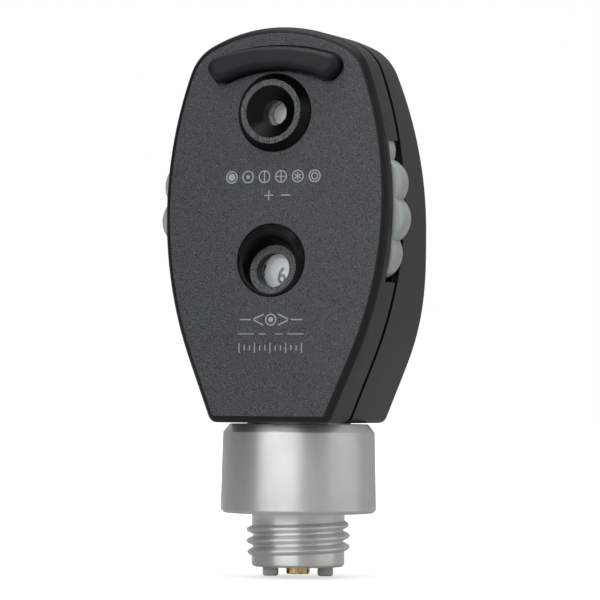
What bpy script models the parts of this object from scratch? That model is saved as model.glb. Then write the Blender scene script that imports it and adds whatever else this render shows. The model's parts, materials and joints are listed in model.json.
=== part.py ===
"""Head of a direct ophthalmoscope, as separate pieces.

Millimetres below, metres in the meshes. The origin is on the neck's axis, on the shoulder that
seats on a handle. +Z is up, -Y faces the examiner, +X is the examiner's right.
"""

import bpy
import bmesh
from math import asin, atan2, cos, hypot, pi, radians, sin, sqrt, tan
from mathutils import Matrix, Vector

MM = 0.001

# Clearances
GAP = 0.3              # between pieces that touch
SNUG = 0.2             # between a lens and its seat
RUNNING = 0.08         # radial, between a journal and its bore

# Housing outline, seen from the examiner's side
HEAD_BOTTOM = 12.15
HEAD_TOP = 65.0
HALF_WIDTH = 16.2
WIDEST_Z = 41.0
SIDE_RADIUS = 53.0
TOP_RADIUS = 22.0
TOP_CORNER = 6.5
BOTTOM_CORNER = 1.3
SHOULDER_Z = 20.6      # the sides run straight below it

# Housing depth
FACE_Y = -10.1         # front face, at the read-out's height
FACE_TILT = radians(2.6)
SEAM_Y = -3.6             # edge of the front cover
SEAM_GAP = 0.6            # dark joint line between the covers
DOME = 0.8                # the front face falls back by this at its sides
REAR_LOW_Y = 10.5
REAR_MID_Y = 6.0       # rear face, at the widest height
REAR_SLOPE = 0.15
REAR_BLEND = (18.0, 38.0)
WALL = 1.5
RIM = 1.1

# Lens wheel
LENS_COUNT = 19
WHEEL_Z = 40.5
LENS_RING = 12.95
LENS_WEB = 0.66           # left between two lens holes
WHEEL_TIP = 17.7
WHEEL_NOTCH = 16.6
SLOT_REACH = 9.15         # half the height of the slots it shows through
WHEEL_FRONT = -6.8
WHEEL_BACK = -3.8
DISC_RADIUS = 15.3
DISC_FRONT = -6.2
DISC_BACK = -4.6
HUB_RADIUS = 3.2
AXLE_RADIUS = 1.5
FLANGE_INNER = 14.9
POWERS = (1, 2, 3, 4, 6, 8, 10, 15, 20)

# Openings on the face
SIGHT_HOLE = 1.68
EYE_BASE = 5.16
EYE_RING = 4.25
EYE_RING_INNER = 3.5
EYE_HEIGHT = 1.35
READ_Z = 33.75
READ_RADIUS = 4.8
READ_WINDOW = 2.3

# Brow rest
BROW_RADIUS = 19.7        # of its middle line, about the face's widest height
BROW_TOP_RADIUS = 28.0    # of its flatter upper edge
BROW_END = (7.9, 18.2)    # centre of its right-hand end
BROW_END_TURN = radians(21.0)
BROW_END_LONG = 1.6
BROW_END_HALF = 1.8
BROW_THICK = 3.05
BROW_PROUD = 2.0
GROOVE_DEPTH = 1.0

# Chassis
PLATE_FRONT = -2.9
PLATE_BACK = -1.9
SPIGOT_RADIUS = 7.0
SPIGOT_BOTTOM = 2.4
SPIGOT_BORE = 5.9
BLOCK_THICK = 1.5
BLOCK_HALF_X = 7.2
BLOCK_HALF_Y = 8.0

# Light path
OPTIC_Y = 1.2
TUBE_OUTER = 2.25
TUBE_INNER = 1.75
CONDENSER_RADIUS = 2.65
MIRROR_Z = 49.5
MIRROR_LENGTH = 4.4
MIRROR_WIDTH = 3.6
MIRROR_THICK = 0.6

# Aperture wheel
APERTURE_RING = 3.8
APERTURE_TIP = 6.5
APERTURE_Z = 21.6
APERTURE_THICK = 1.4
APERTURE_HOLE = 1.3
APERTURE_AXLE = 0.8

# Patient-side window
WINDOW_Z = 51.6
WINDOW_HALF = 2.6      # half-width, and the radius of its round ends
WINDOW_STRAIGHT = 3.2  # length of its straight sides
WINDOW_THICK = 0.6

# Housing screws
SCREW_X = 7.2
SCREW_LOW_Z = 18.0
SCREW_TOP_Z = 61.5
BOSS = 1.7
SHANK = 0.8
SCREW_HEAD = 1.5
HEAD_DEPTH = 1.0

# Collar and neck
COLLAR_RADIUS = 10.5
COLLAR_TOP_RADIUS = 10.24
COLLAR_TOP = 12.0
COLLAR_BORE = 9.0
COLLAR_ROOF = 1.5
NECK_RADIUS = 6.27
NECK_BORE = 5.3
NECK_END = -7.2
THREAD_RADIUS = 7.0
THREAD_PITCH = 1.5
THREAD_TOP = -2.05        # leaves 2 mm clear above it for the rim of a handle
THREAD_TURNS = 2.4
FLANGE_THICK = 1.6

# Contact
POST_RADIUS = 1.05
POST_RING = 3.7
POST_TURN = radians(23.0)
POST_END = -8.5
CONTACT_RADIUS = 1.6
CONTACT_END = -8.2
CONTACT_FLANGE = 2.2
SPRING_WIRE = 0.16
SPRING_TURNS = 3.5

ROUND = 32             # sides of a large round piece
SMALL_ROUND = 14       # sides of a small one
LENS_SIDES = 10

WHEEL_CENTRE = Vector((0, 0, WHEEL_Z))
SIGHT_Z = WHEEL_Z + LENS_RING
FACING = (pi / 2, 0, 0)                    # a piece's +Z points at the examiner
ON_FACE = (pi / 2 - FACE_TILT, 0, 0)       # the same, square to the front face
LENS_HOLE = LENS_RING * sin(pi / LENS_COUNT) - LENS_WEB / 2
WHEEL_CLEAR = WHEEL_TIP + GAP
THREAD_END = THREAD_TOP - THREAD_TURNS * THREAD_PITCH
BLOCK_Z = HEAD_BOTTOM + WALL + GAP        # underside of the chassis block
TUBE_LOW = BLOCK_Z + 0.4
APERTURE_LOW = APERTURE_Z - APERTURE_THICK / 2
APERTURE_HIGH = APERTURE_Z + APERTURE_THICK / 2
APERTURE_Y = OPTIC_Y + APERTURE_RING

MATERIALS = {}


def material(name, colour, roughness, metallic=0.0, alpha=1.0):
    """One Principled material for each finish, shared by the pieces that have it."""
    if name not in MATERIALS:
        made = bpy.data.materials.new(name)
        made.use_nodes = True
        shader = made.node_tree.nodes["Principled BSDF"]
        shader.inputs["Base Color"].default_value = (*colour, 1.0)
        shader.inputs["Roughness"].default_value = roughness
        shader.inputs["Metallic"].default_value = metallic
        shader.inputs["Alpha"].default_value = alpha
        made.diffuse_color = (*colour, alpha)
        MATERIALS[name] = made
    return MATERIALS[name]


def housing_plastic():
    return material("housing_plastic", (0.062, 0.070, 0.078), 0.55)


def black_plastic():
    return material("black_plastic", (0.012, 0.012, 0.013), 0.25)


def black_rubber():
    return material("black_rubber", (0.03, 0.031, 0.033), 0.75)


def grip_plastic():
    return material("grip_plastic", (0.36, 0.37, 0.37), 0.5)


def white_plastic():
    return material("white_plastic", (0.85, 0.85, 0.83), 0.4)


def post_plastic():
    return material("post_plastic", (0.22, 0.24, 0.2), 0.5)


def bright_steel():
    return material("bright_steel", (0.6, 0.6, 0.58), 0.3, 1.0)


def satin_metal():
    return material("satin_metal", (0.42, 0.42, 0.41), 0.35, 1.0)


def aluminium():
    return material("aluminium", (0.7, 0.7, 0.7), 0.35, 1.0)


def gold():
    return material("gold", (0.83, 0.58, 0.22), 0.25, 1.0)


def clear_glass():
    return material("clear_glass", (0.9, 0.93, 0.93), 0.03, 0.0, 0.35)


def green_glass():
    return material("green_glass", (0.05, 0.5, 0.15), 0.03, 0.0, 0.5)


def mirror_glass():
    return material("mirror_glass", (0.9, 0.9, 0.9), 0.02, 1.0)


def board_green():
    return material("board_green", (0.02, 0.16, 0.06), 0.5)


def led_yellow():
    return material("led_yellow", (0.9, 0.75, 0.25), 0.3)


# Mesh helpers

def finish_object(bm, name, finish, place=(0, 0, 0), turn=(0, 0, 0)):
    """Turn a bmesh in millimetres into a placed object in metres."""
    bmesh.ops.recalc_face_normals(bm, faces=bm.faces)
    bmesh.ops.scale(bm, vec=(MM, MM, MM), verts=bm.verts)
    mesh = bpy.data.meshes.new(name)
    bm.to_mesh(mesh)
    bm.free()
    mesh.shade_smooth()
    mesh.set_sharp_from_angle(angle=radians(35))
    piece = bpy.data.objects.new(name, mesh)
    bpy.context.scene.collection.objects.link(piece)
    piece.location = Vector(place) * MM
    piece.rotation_euler = turn
    if finish:
        mesh.materials.append(finish)
    return piece


def skin(bm, rings, closed=False, ends=True):
    """Join rings of equal count with quads, and cap the first and the last."""
    rows = [[bm.verts.new(point) for point in ring] for ring in rings]
    pairs = list(zip(rows, rows[1:]))
    if closed:
        pairs.append((rows[-1], rows[0]))
    for low, high in pairs:
        for i in range(len(low)):
            j = (i + 1) % len(low)
            bm.faces.new((low[i], low[j], high[j], high[i]))
    if ends and not closed:
        bm.faces.new(rows[0])
        bm.faces.new(rows[-1])
    return rows


def circle(radius, height, sides, centre=(0, 0), turn=0.0):
    steps = [turn + 2 * pi * i / sides for i in range(sides)]
    return [(centre[0] + radius * cos(a), centre[1] + radius * sin(a), height) for a in steps]


def turned(profile, sides=ROUND, closed=False):
    """A lathe shape about local Z from (radius, height) pairs; closed makes a ring."""
    bm = bmesh.new()
    skin(bm, [circle(radius, height, sides) for radius, height in profile], closed)
    return bm


def block(low, high):
    bm = bmesh.new()
    size = Vector(high) - Vector(low)
    centre = (Vector(high) + Vector(low)) / 2
    bmesh.ops.create_cube(bm, size=1.0, matrix=Matrix.Translation(centre) @ Matrix.Diagonal((*size, 1)))
    return bm


def prism(points, low, high):
    """A flat outline given in local X and Y, extruded along local Z."""
    bm = bmesh.new()
    skin(bm, [[(x, y, low) for x, y in points], [(x, y, high) for x, y in points]])
    return bm


def cutter(bm, name, place=(0, 0, 0), turn=(0, 0, 0)):
    tool = finish_object(bm, name, None, place, turn)
    tool.hide_render = True
    tool.display_type = "WIRE"
    return tool


def apply_boolean(piece, tool, operation):
    step = piece.modifiers.new(tool.name, "BOOLEAN")
    step.object = tool
    step.operation = operation
    step.solver = "EXACT"


def cut(piece, *tools):
    for tool in tools:
        apply_boolean(piece, tool, "DIFFERENCE")


def join(piece, *tools):
    for tool in tools:
        apply_boolean(piece, tool, "UNION")


# Housing shape

def face_y(z):
    """Front face, leaning back towards the top."""
    return FACE_Y + (z - READ_Z) * tan(FACE_TILT)


def rear_y(z):
    """Rear face: full depth below, then a long slope to the top."""
    low, high = REAR_BLEND
    t = min(max((z - low) / (high - low), 0.0), 1.0)
    upper = REAR_MID_Y - (z - WIDEST_Z) * REAR_SLOPE
    return REAR_LOW_Y + (3 * t * t - 2 * t ** 3) * (upper - REAR_LOW_Y)


def arc(centre, radius, start, end, steps):
    angles = [start + (end - start) * i / steps for i in range(steps + 1)]
    return [(centre[0] + radius * cos(a), centre[1] + radius * sin(a)) for a in angles]


def outline(inset):
    """Closed outline (x, z) of the housing, from the bottom right corner round to the left."""
    side = (HALF_WIDTH - SIDE_RADIUS, WIDEST_Z)
    top = (0.0, HEAD_TOP - TOP_RADIUS)
    reach, drop = SIDE_RADIUS - TOP_CORNER, TOP_RADIUS - TOP_CORNER
    apart = hypot(top[0] - side[0], top[1] - side[1])
    lean = atan2(top[1] - side[1], top[0] - side[0])
    spread = (apart ** 2 + reach ** 2 - drop ** 2) / (2 * apart * reach)
    upper = lean + atan2(sqrt(1 - spread ** 2), spread)
    corner = (side[0] + reach * cos(upper), side[1] + reach * sin(upper))
    crown = atan2(corner[1] - top[1], corner[0] - top[0])
    slope = asin((WIDEST_Z - SHOULDER_Z) / SIDE_RADIUS)
    round_off = max(BOTTOM_CORNER - inset, 0.5)
    foot_z = HEAD_BOTTOM + inset + round_off
    straight = (side[0] + SIDE_RADIUS * cos(slope), SHOULDER_Z)
    foot_x = straight[0] + ((foot_z - straight[1]) * sin(slope) - inset - round_off) / cos(slope)
    half = arc((foot_x, foot_z), round_off, -pi / 2, -slope, 3)
    half += arc(side, SIDE_RADIUS - inset, -slope, upper, 8)
    half += arc(corner, TOP_CORNER - inset, upper, crown, 5)[1:]
    half += arc(top, TOP_RADIUS - inset, crown, pi / 2, 3)[1:]
    return half + [(-x, z) for x, z in reversed(half[:-1])]


def rounded_rings(inset, depth, surface, direction):
    """Rings over the rim: surface(z) is the face, direction is -1 towards the examiner."""
    rings = []
    for step in range(3, -1, -1):
        a = pi / 2 * step / 3
        ring_inset = inset + depth * (1 - cos(a))
        fall = depth * (1 - sin(a))
        rings.append([(x, surface(z) - direction * fall, z) for x, z in outline(ring_inset)])
    return rings


def cap_across(bm, row):
    """Close a symmetric ring with strips that run level from side to side."""
    count = len(row)
    for i in range(count // 2):
        left, left_next = row[count - 1 - i], row[count - 2 - i]
        corners = [row[i], row[i + 1], left_next, left]
        unique = list(dict.fromkeys(corners))
        if len(unique) > 2:
            bm.faces.new(unique)


def shell(surface, direction, seam, dome):
    """Open shell between its face and the seam, with an even wall; dome bows the face across."""
    bm = bmesh.new()
    inner_rim = RIM * 0.5
    outer = rounded_rings(0.0, RIM, surface, direction)
    inner = rounded_rings(WALL, inner_rim, lambda z: surface(z) - direction * WALL, direction)
    mouth = [[(x, seam, z) for x, z in outline(inset)] for inset in (0.0, WALL)]
    rows = skin(bm, outer + mouth + inner[::-1], ends=False)
    cap_across(bm, rows[0])
    cap_across(bm, rows[-1])
    if dome:
        for step in range(-4, 4):
            bmesh.ops.bisect_plane(bm, geom=bm.verts[:] + bm.edges[:] + bm.faces[:],
                                   plane_co=(HALF_WIDTH * (step + 0.5) / 4, 0, 0), plane_no=(1, 0, 0))
        for vert in bm.verts:
            if abs(vert.co.y - seam) > RIM:
                vert.co.y += dome * (vert.co.x / HALF_WIDTH) ** 2
        bmesh.ops.connect_verts_nonplanar(bm, angle_limit=radians(0.2), faces=bm.faces[:])
    return bm


def front_cover():
    piece = finish_object(shell(face_y, -1, SEAM_Y, DOME), "front_cover", housing_plastic())
    for name, x, z in screw_places():
        post = turned([(BOSS, -SEAM_Y), (BOSS, -face_y(z) - WALL / 2)], SMALL_ROUND)
        join(piece, cutter(post, "front_boss_" + name, (x, 0, z), FACING))
        hole = turned([(SHANK + GAP, -SEAM_Y - 1), (SHANK + GAP, -face_y(z) - WALL)], SMALL_ROUND)
        cut(piece, cutter(hole, "front_boss_hole_" + name, (x, 0, z), FACING))
    wheel = turned([(WHEEL_CLEAR, -SEAM_Y - 1), (WHEEL_CLEAR, -WHEEL_FRONT + GAP)])
    cut(piece, cutter(wheel, "wheel_room", WHEEL_CENTRE, FACING))
    slot = block((-HALF_WIDTH - 2, WHEEL_FRONT - GAP, WHEEL_Z - SLOT_REACH),
                 (HALF_WIDTH + 2, SEAM_Y + 1, WHEEL_Z + SLOT_REACH))
    cut(piece, cutter(slot, "wheel_slot"))
    eye = turned([(EYE_BASE + GAP, 2), (EYE_BASE + GAP, -0.9), (3.0, -0.9), (3.0, -3.0)], ROUND)
    cut(piece, cutter(eye, "eyepiece_seat", (0, face_y(SIGHT_Z), SIGHT_Z), ON_FACE))
    read = turned([(READ_RADIUS + GAP, 2), (READ_RADIUS + GAP, -0.9), (4.2, -0.9), (4.2, -3.0)], ROUND)
    cut(piece, cutter(read, "read_out_seat", (0, face_y(READ_Z), READ_Z), ON_FACE))
    groove = brow_shape(GAP, -GROOVE_DEPTH, 3.0, 0.0)
    cut(piece, cutter(groove, "brow_groove", (0, face_y(WIDEST_Z), WIDEST_Z), ON_FACE))
    spigot = turned([(SPIGOT_RADIUS + GAP, HEAD_BOTTOM - 1), (SPIGOT_RADIUS + GAP, BLOCK_Z)])
    cut(piece, cutter(spigot, "front_spigot_hole"))
    return piece


def rear_cover():
    seam = SEAM_Y + SEAM_GAP
    piece = finish_object(shell(rear_y, 1, seam, 0.0), "rear_cover", housing_plastic())
    for name, x, z in screw_places():
        post = turned([(BOSS + 0.3, -rear_y(z) + 0.9), (BOSS + 0.3, -PLATE_BACK - GAP)], SMALL_ROUND)
        join(piece, cutter(post, "rear_boss_" + name, (x, 0, z), FACING))
        seat = -rear_y(z + SCREW_HEAD + GAP) + HEAD_DEPTH + 0.4
        hole = turned([(SCREW_HEAD + GAP, -rear_y(z) - 3), (SCREW_HEAD + GAP, seat),
                       (SHANK + GAP, seat), (SHANK + GAP, 5)], SMALL_ROUND)
        cut(piece, cutter(hole, "rear_boss_hole_" + name, (x, 0, z), FACING))
    slot_half = sqrt(APERTURE_TIP ** 2 - (REAR_LOW_Y - WALL - APERTURE_Y) ** 2) + 0.6
    slot = block((-slot_half, REAR_LOW_Y - WALL - 1.5, APERTURE_LOW - GAP),
                 (slot_half, REAR_LOW_Y + 2, APERTURE_HIGH + GAP))
    cut(piece, cutter(slot, "aperture_slot"))
    pane, place, turn = window_shape(GAP, -GAP, WINDOW_THICK + 2)
    cut(piece, cutter(pane, "window_seat", place, turn))
    light, place, turn = window_shape(-0.7, -3.0, 3.0)
    cut(piece, cutter(light, "window_light", place, turn))
    spigot = turned([(SPIGOT_RADIUS + GAP, HEAD_BOTTOM - 1), (SPIGOT_RADIUS + GAP, BLOCK_Z)])
    cut(piece, cutter(spigot, "rear_spigot_hole"))
    return piece


def screw_places():
    return (("right", SCREW_X, SCREW_LOW_Z), ("left", -SCREW_X, SCREW_LOW_Z), ("top", 0.0, SCREW_TOP_Z))


def housing_screws():
    """Three long screws that come in from the rear and draw the covers together."""
    for name, x, z in screw_places():
        seat = -rear_y(z + SCREW_HEAD + GAP) + HEAD_DEPTH + 0.4
        head = seat - GAP
        tip = -face_y(z) - WALL - GAP
        profile = [(0.7, head - 0.6), (0.7, head - HEAD_DEPTH), (SCREW_HEAD, head - HEAD_DEPTH),
                   (SCREW_HEAD, head), (SHANK, head), (SHANK, tip)]
        finish_object(turned(profile, SMALL_ROUND), "housing_screw_" + name, bright_steel(), (x, 0, z), FACING)


# Pieces on the front face

def brow_shape(grow, low, high, soften):
    """A bent bar, a little thicker at its ends, in the face's own axes."""
    x_end, y_end = BROW_END
    thick = BROW_THICK / 2

    def end_cap(more):
        points = []
        for step in range(9):
            a = pi / 2 - pi * step / 8
            along, across = (BROW_END_LONG + more) * cos(a), (BROW_END_HALF + more) * sin(a)
            points.append((x_end + along * cos(BROW_END_TURN) + across * sin(BROW_END_TURN),
                           y_end - along * sin(BROW_END_TURN) + across * cos(BROW_END_TURN)))
        return points

    def ring(inset, height):
        more = grow - inset
        right = end_cap(more)
        left = [(-x, y) for x, y in reversed(right)]
        lower = BROW_RADIUS - thick - more
        sweep = asin((right[-1][0] - 0.2) / lower)
        points = arc((0, 0), lower, pi / 2 - sweep, pi / 2 + sweep, 10) + left
        upper = BROW_TOP_RADIUS + more
        sweep = asin((right[0][0] - 0.2) / upper)
        points += arc((0, BROW_RADIUS + thick - BROW_TOP_RADIUS), upper, pi / 2 + sweep, pi / 2 - sweep, 10)
        return [(x, y, height) for x, y in points + right]

    rings = [ring(0, low)]
    if soften:
        rings += [ring(soften * (1 - cos(a)), high - soften * (1 - sin(a)))
                  for a in (0, pi / 6, pi / 3, pi / 2)]
    else:
        rings.append(ring(0, high))
    bm = bmesh.new()
    skin(bm, rings)
    return bm


def brow_rest():
    bar = brow_shape(0.0, GAP - GROOVE_DEPTH, BROW_PROUD, 1.0)
    finish_object(bar, "brow_rest", black_rubber(), (0, face_y(WIDEST_Z), WIDEST_Z), ON_FACE)


def sight_eyepiece():
    """Conical ring round the sight hole, with a neck through the cover."""
    neck = 3.0 - GAP
    back = -WALL - 0.3
    profile = [(SIGHT_HOLE, back), (neck, back), (neck, -0.6), (EYE_BASE, -0.6), (EYE_BASE, 0.0),
               (EYE_RING, EYE_HEIGHT), (EYE_RING_INNER, EYE_HEIGHT), (SIGHT_HOLE, -0.15)]
    ring = turned(profile, ROUND, closed=True)
    finish_object(ring, "sight_eyepiece", black_plastic(), (0, face_y(SIGHT_Z), SIGHT_Z), ON_FACE)


def dioptre_hood():
    """Hooded frame of the read-out: it grows out of the face upwards, over a leaning floor."""
    def level(radius, lift, height):
        return circle(radius, height, ROUND, (0, lift))

    def sloped(radius, lift, bottom, top):
        low, high = lift - radius, lift + radius
        return [(x, y, bottom + (top - bottom) * (y - low) / (high - low))
                for x, y, z in circle(radius, 0, ROUND, (0, lift))]

    neck = 4.2 - GAP
    back = -WALL - 0.9
    rings = [level(READ_WINDOW, -1.25, back), level(neck, 0, back), level(neck, 0, -0.6),
             level(READ_RADIUS, 0, -0.6), level(READ_RADIUS, 0, 0.0),
             sloped(4.25, -0.35, 0.05, 1.0), sloped(3.95, -0.55, 0.05, 0.85),
             sloped(3.25, -1.15, -0.05, -1.6), sloped(READ_WINDOW, -1.25, -0.3, -1.35)]
    bm = bmesh.new()
    skin(bm, rings, closed=True)
    finish_object(bm, "dioptre_hood", black_plastic(), (0, face_y(READ_Z), READ_Z), ON_FACE)
    pane = turned([(3.2, back - GAP), (3.2, back - GAP - 0.5)], SMALL_ROUND)
    place = (0, face_y(READ_Z) - 1.25 * sin(FACE_TILT), READ_Z - 1.25)
    finish_object(pane, "dioptre_window", clear_glass(), place, ON_FACE)


# Lens wheel

def lens_angle(place):
    return pi / 2 + 2 * pi * place / LENS_COUNT


def lens_disc():
    """Numbered disc that carries the lenses, with its hub."""
    front, back = -DISC_FRONT, -DISC_BACK
    profile = [(AXLE_RADIUS + RUNNING, -WHEEL_BACK), (HUB_RADIUS, -WHEEL_BACK), (HUB_RADIUS, back),
               (DISC_RADIUS, back), (DISC_RADIUS, front), (HUB_RADIUS, front),
               (HUB_RADIUS, -WHEEL_FRONT), (AXLE_RADIUS + RUNNING, -WHEEL_FRONT)]
    piece = finish_object(turned(profile, ROUND, closed=True), "lens_disc", white_plastic(),
                          WHEEL_CENTRE, FACING)
    bm = bmesh.new()
    for place in range(LENS_COUNT):
        a = lens_angle(place)
        centre = (LENS_RING * cos(a), LENS_RING * sin(a))
        skin(bm, [circle(LENS_HOLE, h, LENS_SIDES, centre) for h in (back - 1, front + 1)])
    cut(piece, cutter(bm, "lens_holes", WHEEL_CENTRE, FACING))


def wheel_grip():
    """Lobed ring that the finger turns; a flange behind carries the disc."""
    steps = 5 * LENS_COUNT
    middle = (WHEEL_TIP + WHEEL_NOTCH) / 2
    swing = (WHEEL_TIP - WHEEL_NOTCH) / 2
    edge = 0.35

    def lobed(inset, height):
        points = []
        for i in range(steps):
            a = pi / 2 + 2 * pi * i / steps
            radius = middle + swing * cos(LENS_COUNT * (a - pi / 2)) - inset
            points.append((radius * cos(a), radius * sin(a), height))
        return points

    def plain(radius, height):
        return circle(radius, height, steps, turn=pi / 2)

    back, front = -WHEEL_BACK, -WHEEL_FRONT
    shelf = -DISC_BACK - GAP
    seat = DISC_RADIUS + GAP
    rings = [plain(FLANGE_INNER, back), lobed(0, back), lobed(0, front - edge),
             lobed(edge, front), plain(seat, front),
             plain(seat, shelf), plain(FLANGE_INNER, shelf)]
    bm = bmesh.new()
    skin(bm, rings, closed=True)
    finish_object(bm, "wheel_grip", grip_plastic(), WHEEL_CENTRE, FACING)


def correction_lenses():
    """Plus lenses bulge and minus lenses are hollowed; the open place at the top of the scale is 0."""
    middle = -(DISC_FRONT + DISC_BACK) / 2
    radius = LENS_HOLE - SNUG
    order = [power for power in POWERS] + [-power for power in reversed(POWERS)]
    rest = order.index(6)
    for index, power in enumerate(order):
        a = lens_angle(index - rest)
        bulge = 0.02 * power
        edge = 0.25 - 0.012 * min(power, 0)
        profile = [(radius * 0.55, middle - edge - bulge), (radius, middle - edge),
                   (radius, middle + edge), (radius * 0.55, middle + edge + bulge)]
        name = "lens_%s_%02d" % ("plus" if power > 0 else "minus", abs(power))
        centre = WHEEL_CENTRE + Vector((LENS_RING * cos(a), 0, LENS_RING * sin(a)))
        finish_object(turned(profile, LENS_SIDES), name, clear_glass(), centre, FACING)


def wheel_axle():
    plate, shoulder = -PLATE_BACK, -PLATE_FRONT + GAP
    front = -WHEEL_FRONT + GAP
    profile = [(1.2, plate), (1.2, shoulder), (2.4, shoulder), (2.4, -WHEEL_BACK - GAP),
               (AXLE_RADIUS, -WHEEL_BACK - GAP), (AXLE_RADIUS, front), (1.1, front),
               (1.1, front + 0.4), (AXLE_RADIUS, front + 0.4), (AXLE_RADIUS, front + 0.8)]
    finish_object(turned(profile, SMALL_ROUND), "wheel_axle", bright_steel(), WHEEL_CENTRE, FACING)
    clip = ring_clip(1.1 + 0.1, 2.6, front + 0.05, front + 0.35)
    finish_object(clip, "wheel_clip", bright_steel(), WHEEL_CENTRE, FACING)


def ring_clip(inner, outer, low, high):
    """Open ring that snaps into a groove."""
    opening = radians(35)
    sweep = arc((0, 0), outer, pi / 2 + opening, pi / 2 - opening + 2 * pi, 20)
    sweep += arc((0, 0), inner, pi / 2 - opening + 2 * pi, pi / 2 + opening, 20)
    return prism(sweep, low, high)


def detent_spring():
    """Bent leaf whose nose clicks between the lobes."""
    crest = WHEEL_Z - WHEEL_TIP - GAP
    nose = 0.8
    arm = crest - 2 * nose + 0.3
    leaf = 0.3
    bottom = arm - 4.6
    back = PLATE_FRONT - GAP
    bm = block((-1.6, back - leaf, bottom), (1.6, back, arm))
    piece = finish_object(bm, "detent_spring", bright_steel())
    shelf = block((-1.6, WHEEL_FRONT, arm - leaf), (1.6, back - leaf / 2, arm))
    bump = turned([(nose, -WHEEL_BACK + 0.3), (nose, -WHEEL_FRONT)], SMALL_ROUND)
    join(piece, cutter(shelf, "leaf_arm"), cutter(bump, "leaf_nose", (0, 0, crest - nose), FACING))
    eye = turned([(0.9, 0), (0.9, 8)], SMALL_ROUND)
    middle = (0, 0, (arm + bottom) / 2 - 0.5)
    cut(piece, cutter(eye, "leaf_eye", middle, FACING))
    head = -back + leaf + GAP
    profile = [(0.6, -PLATE_BACK), (0.6, head), (1.3, head), (1.3, head + 0.7)]
    finish_object(turned(profile, SMALL_ROUND), "spring_screw", bright_steel(), middle, FACING)
    return middle


# Chassis

def chassis(spring_place):
    """Plate that carries everything, with a block and a spigot that go down into the collar."""
    bm = bmesh.new()
    skin(bm, [[(x, y, z) for x, z in outline(WALL + GAP)] for y in (PLATE_FRONT, PLATE_BACK)])
    piece = finish_object(bm, "chassis", aluminium())
    base = block((-BLOCK_HALF_X, -BLOCK_HALF_Y, BLOCK_Z), (BLOCK_HALF_X, BLOCK_HALF_Y, BLOCK_Z + BLOCK_THICK))
    spigot = turned([(SPIGOT_RADIUS, SPIGOT_BOTTOM), (SPIGOT_RADIUS, BLOCK_Z + 0.6)])
    join(piece, cutter(base, "chassis_block"), cutter(spigot, "chassis_spigot"))
    for z in (26.0, 33.0):
        saddle = block((-3.6, PLATE_FRONT + 0.4, z), (3.6, OPTIC_Y, z + 3.0))
        join(piece, cutter(saddle, "saddle_%d" % z))
    bore = turned([(TUBE_OUTER + GAP, SPIGOT_BOTTOM - 1), (TUBE_OUTER + GAP, WIDEST_Z)])
    lens = turned([(CONDENSER_RADIUS + GAP, SPIGOT_BOTTOM - 1), (CONDENSER_RADIUS + GAP, BLOCK_Z)])
    module = turned([(SPIGOT_BORE, SPIGOT_BOTTOM - 1), (SPIGOT_BORE, 11.5)])
    pin = turned([(APERTURE_AXLE + GAP, SPIGOT_BOTTOM + 9.5), (APERTURE_AXLE + GAP, BLOCK_Z + 3)], SMALL_ROUND)
    axle = turned([(1.2 + GAP, 0), (1.2 + GAP, 5)], SMALL_ROUND)
    sight = turned([(SIGHT_HOLE + 0.7, 0), (SIGHT_HOLE + 0.7, 5)], SMALL_ROUND)
    leaf = turned([(0.6 + GAP, 0), (0.6 + GAP, 5)], SMALL_ROUND)
    cut(piece, cutter(bore, "tube_bore", (0, OPTIC_Y, 0)), cutter(lens, "condenser_bore", (0, OPTIC_Y, 0)),
        cutter(module, "module_bore"), cutter(pin, "aperture_pin_hole", (0, APERTURE_Y, 0)),
        cutter(axle, "axle_hole", WHEEL_CENTRE, FACING), cutter(sight, "sight_path", (0, 0, SIGHT_Z), FACING),
        cutter(leaf, "leaf_screw_hole", spring_place, FACING))
    for name, x, z in screw_places():
        way = turned([(BOSS + 2 * GAP, 0), (BOSS + 2 * GAP, 5)], SMALL_ROUND)
        cut(piece, cutter(way, "boss_way_" + name, (x, 0, z), FACING))


# Light path

def lens_profile(radius, low, high, bulge_low, bulge_high):
    return [(0.4, low - bulge_low), (radius * 0.6, low - bulge_low * 0.64), (radius, low),
            (radius, high), (radius * 0.6, high + bulge_high * 0.64), (0.4, high + bulge_high)]


def light_path():
    on_axis = (0, OPTIC_Y, 0)
    lower = [(TUBE_INNER, TUBE_LOW), (TUBE_OUTER, TUBE_LOW), (TUBE_OUTER, APERTURE_LOW - 0.5),
             (TUBE_INNER, APERTURE_LOW - 0.5)]
    finish_object(turned(lower, SMALL_ROUND, closed=True), "lower_light_tube", black_plastic(), on_axis)
    top = MIRROR_Z - 3.7
    upper = [(TUBE_INNER, APERTURE_HIGH + 0.6), (TUBE_OUTER, APERTURE_HIGH + 0.6), (TUBE_OUTER, top),
             (TUBE_INNER, top)]
    finish_object(turned(upper, SMALL_ROUND, closed=True), "upper_light_tube", black_plastic(), on_axis)
    condenser = lens_profile(CONDENSER_RADIUS, 12.3, 13.0, 0.1, 0.7)
    finish_object(turned(condenser, SMALL_ROUND), "condenser_lens", clear_glass(), on_axis)
    objective = lens_profile(TUBE_INNER - SNUG, top - 8.0, top - 7.0, 0.3, 0.3)
    finish_object(turned(objective, SMALL_ROUND), "objective_lens", clear_glass(), on_axis)


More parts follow.
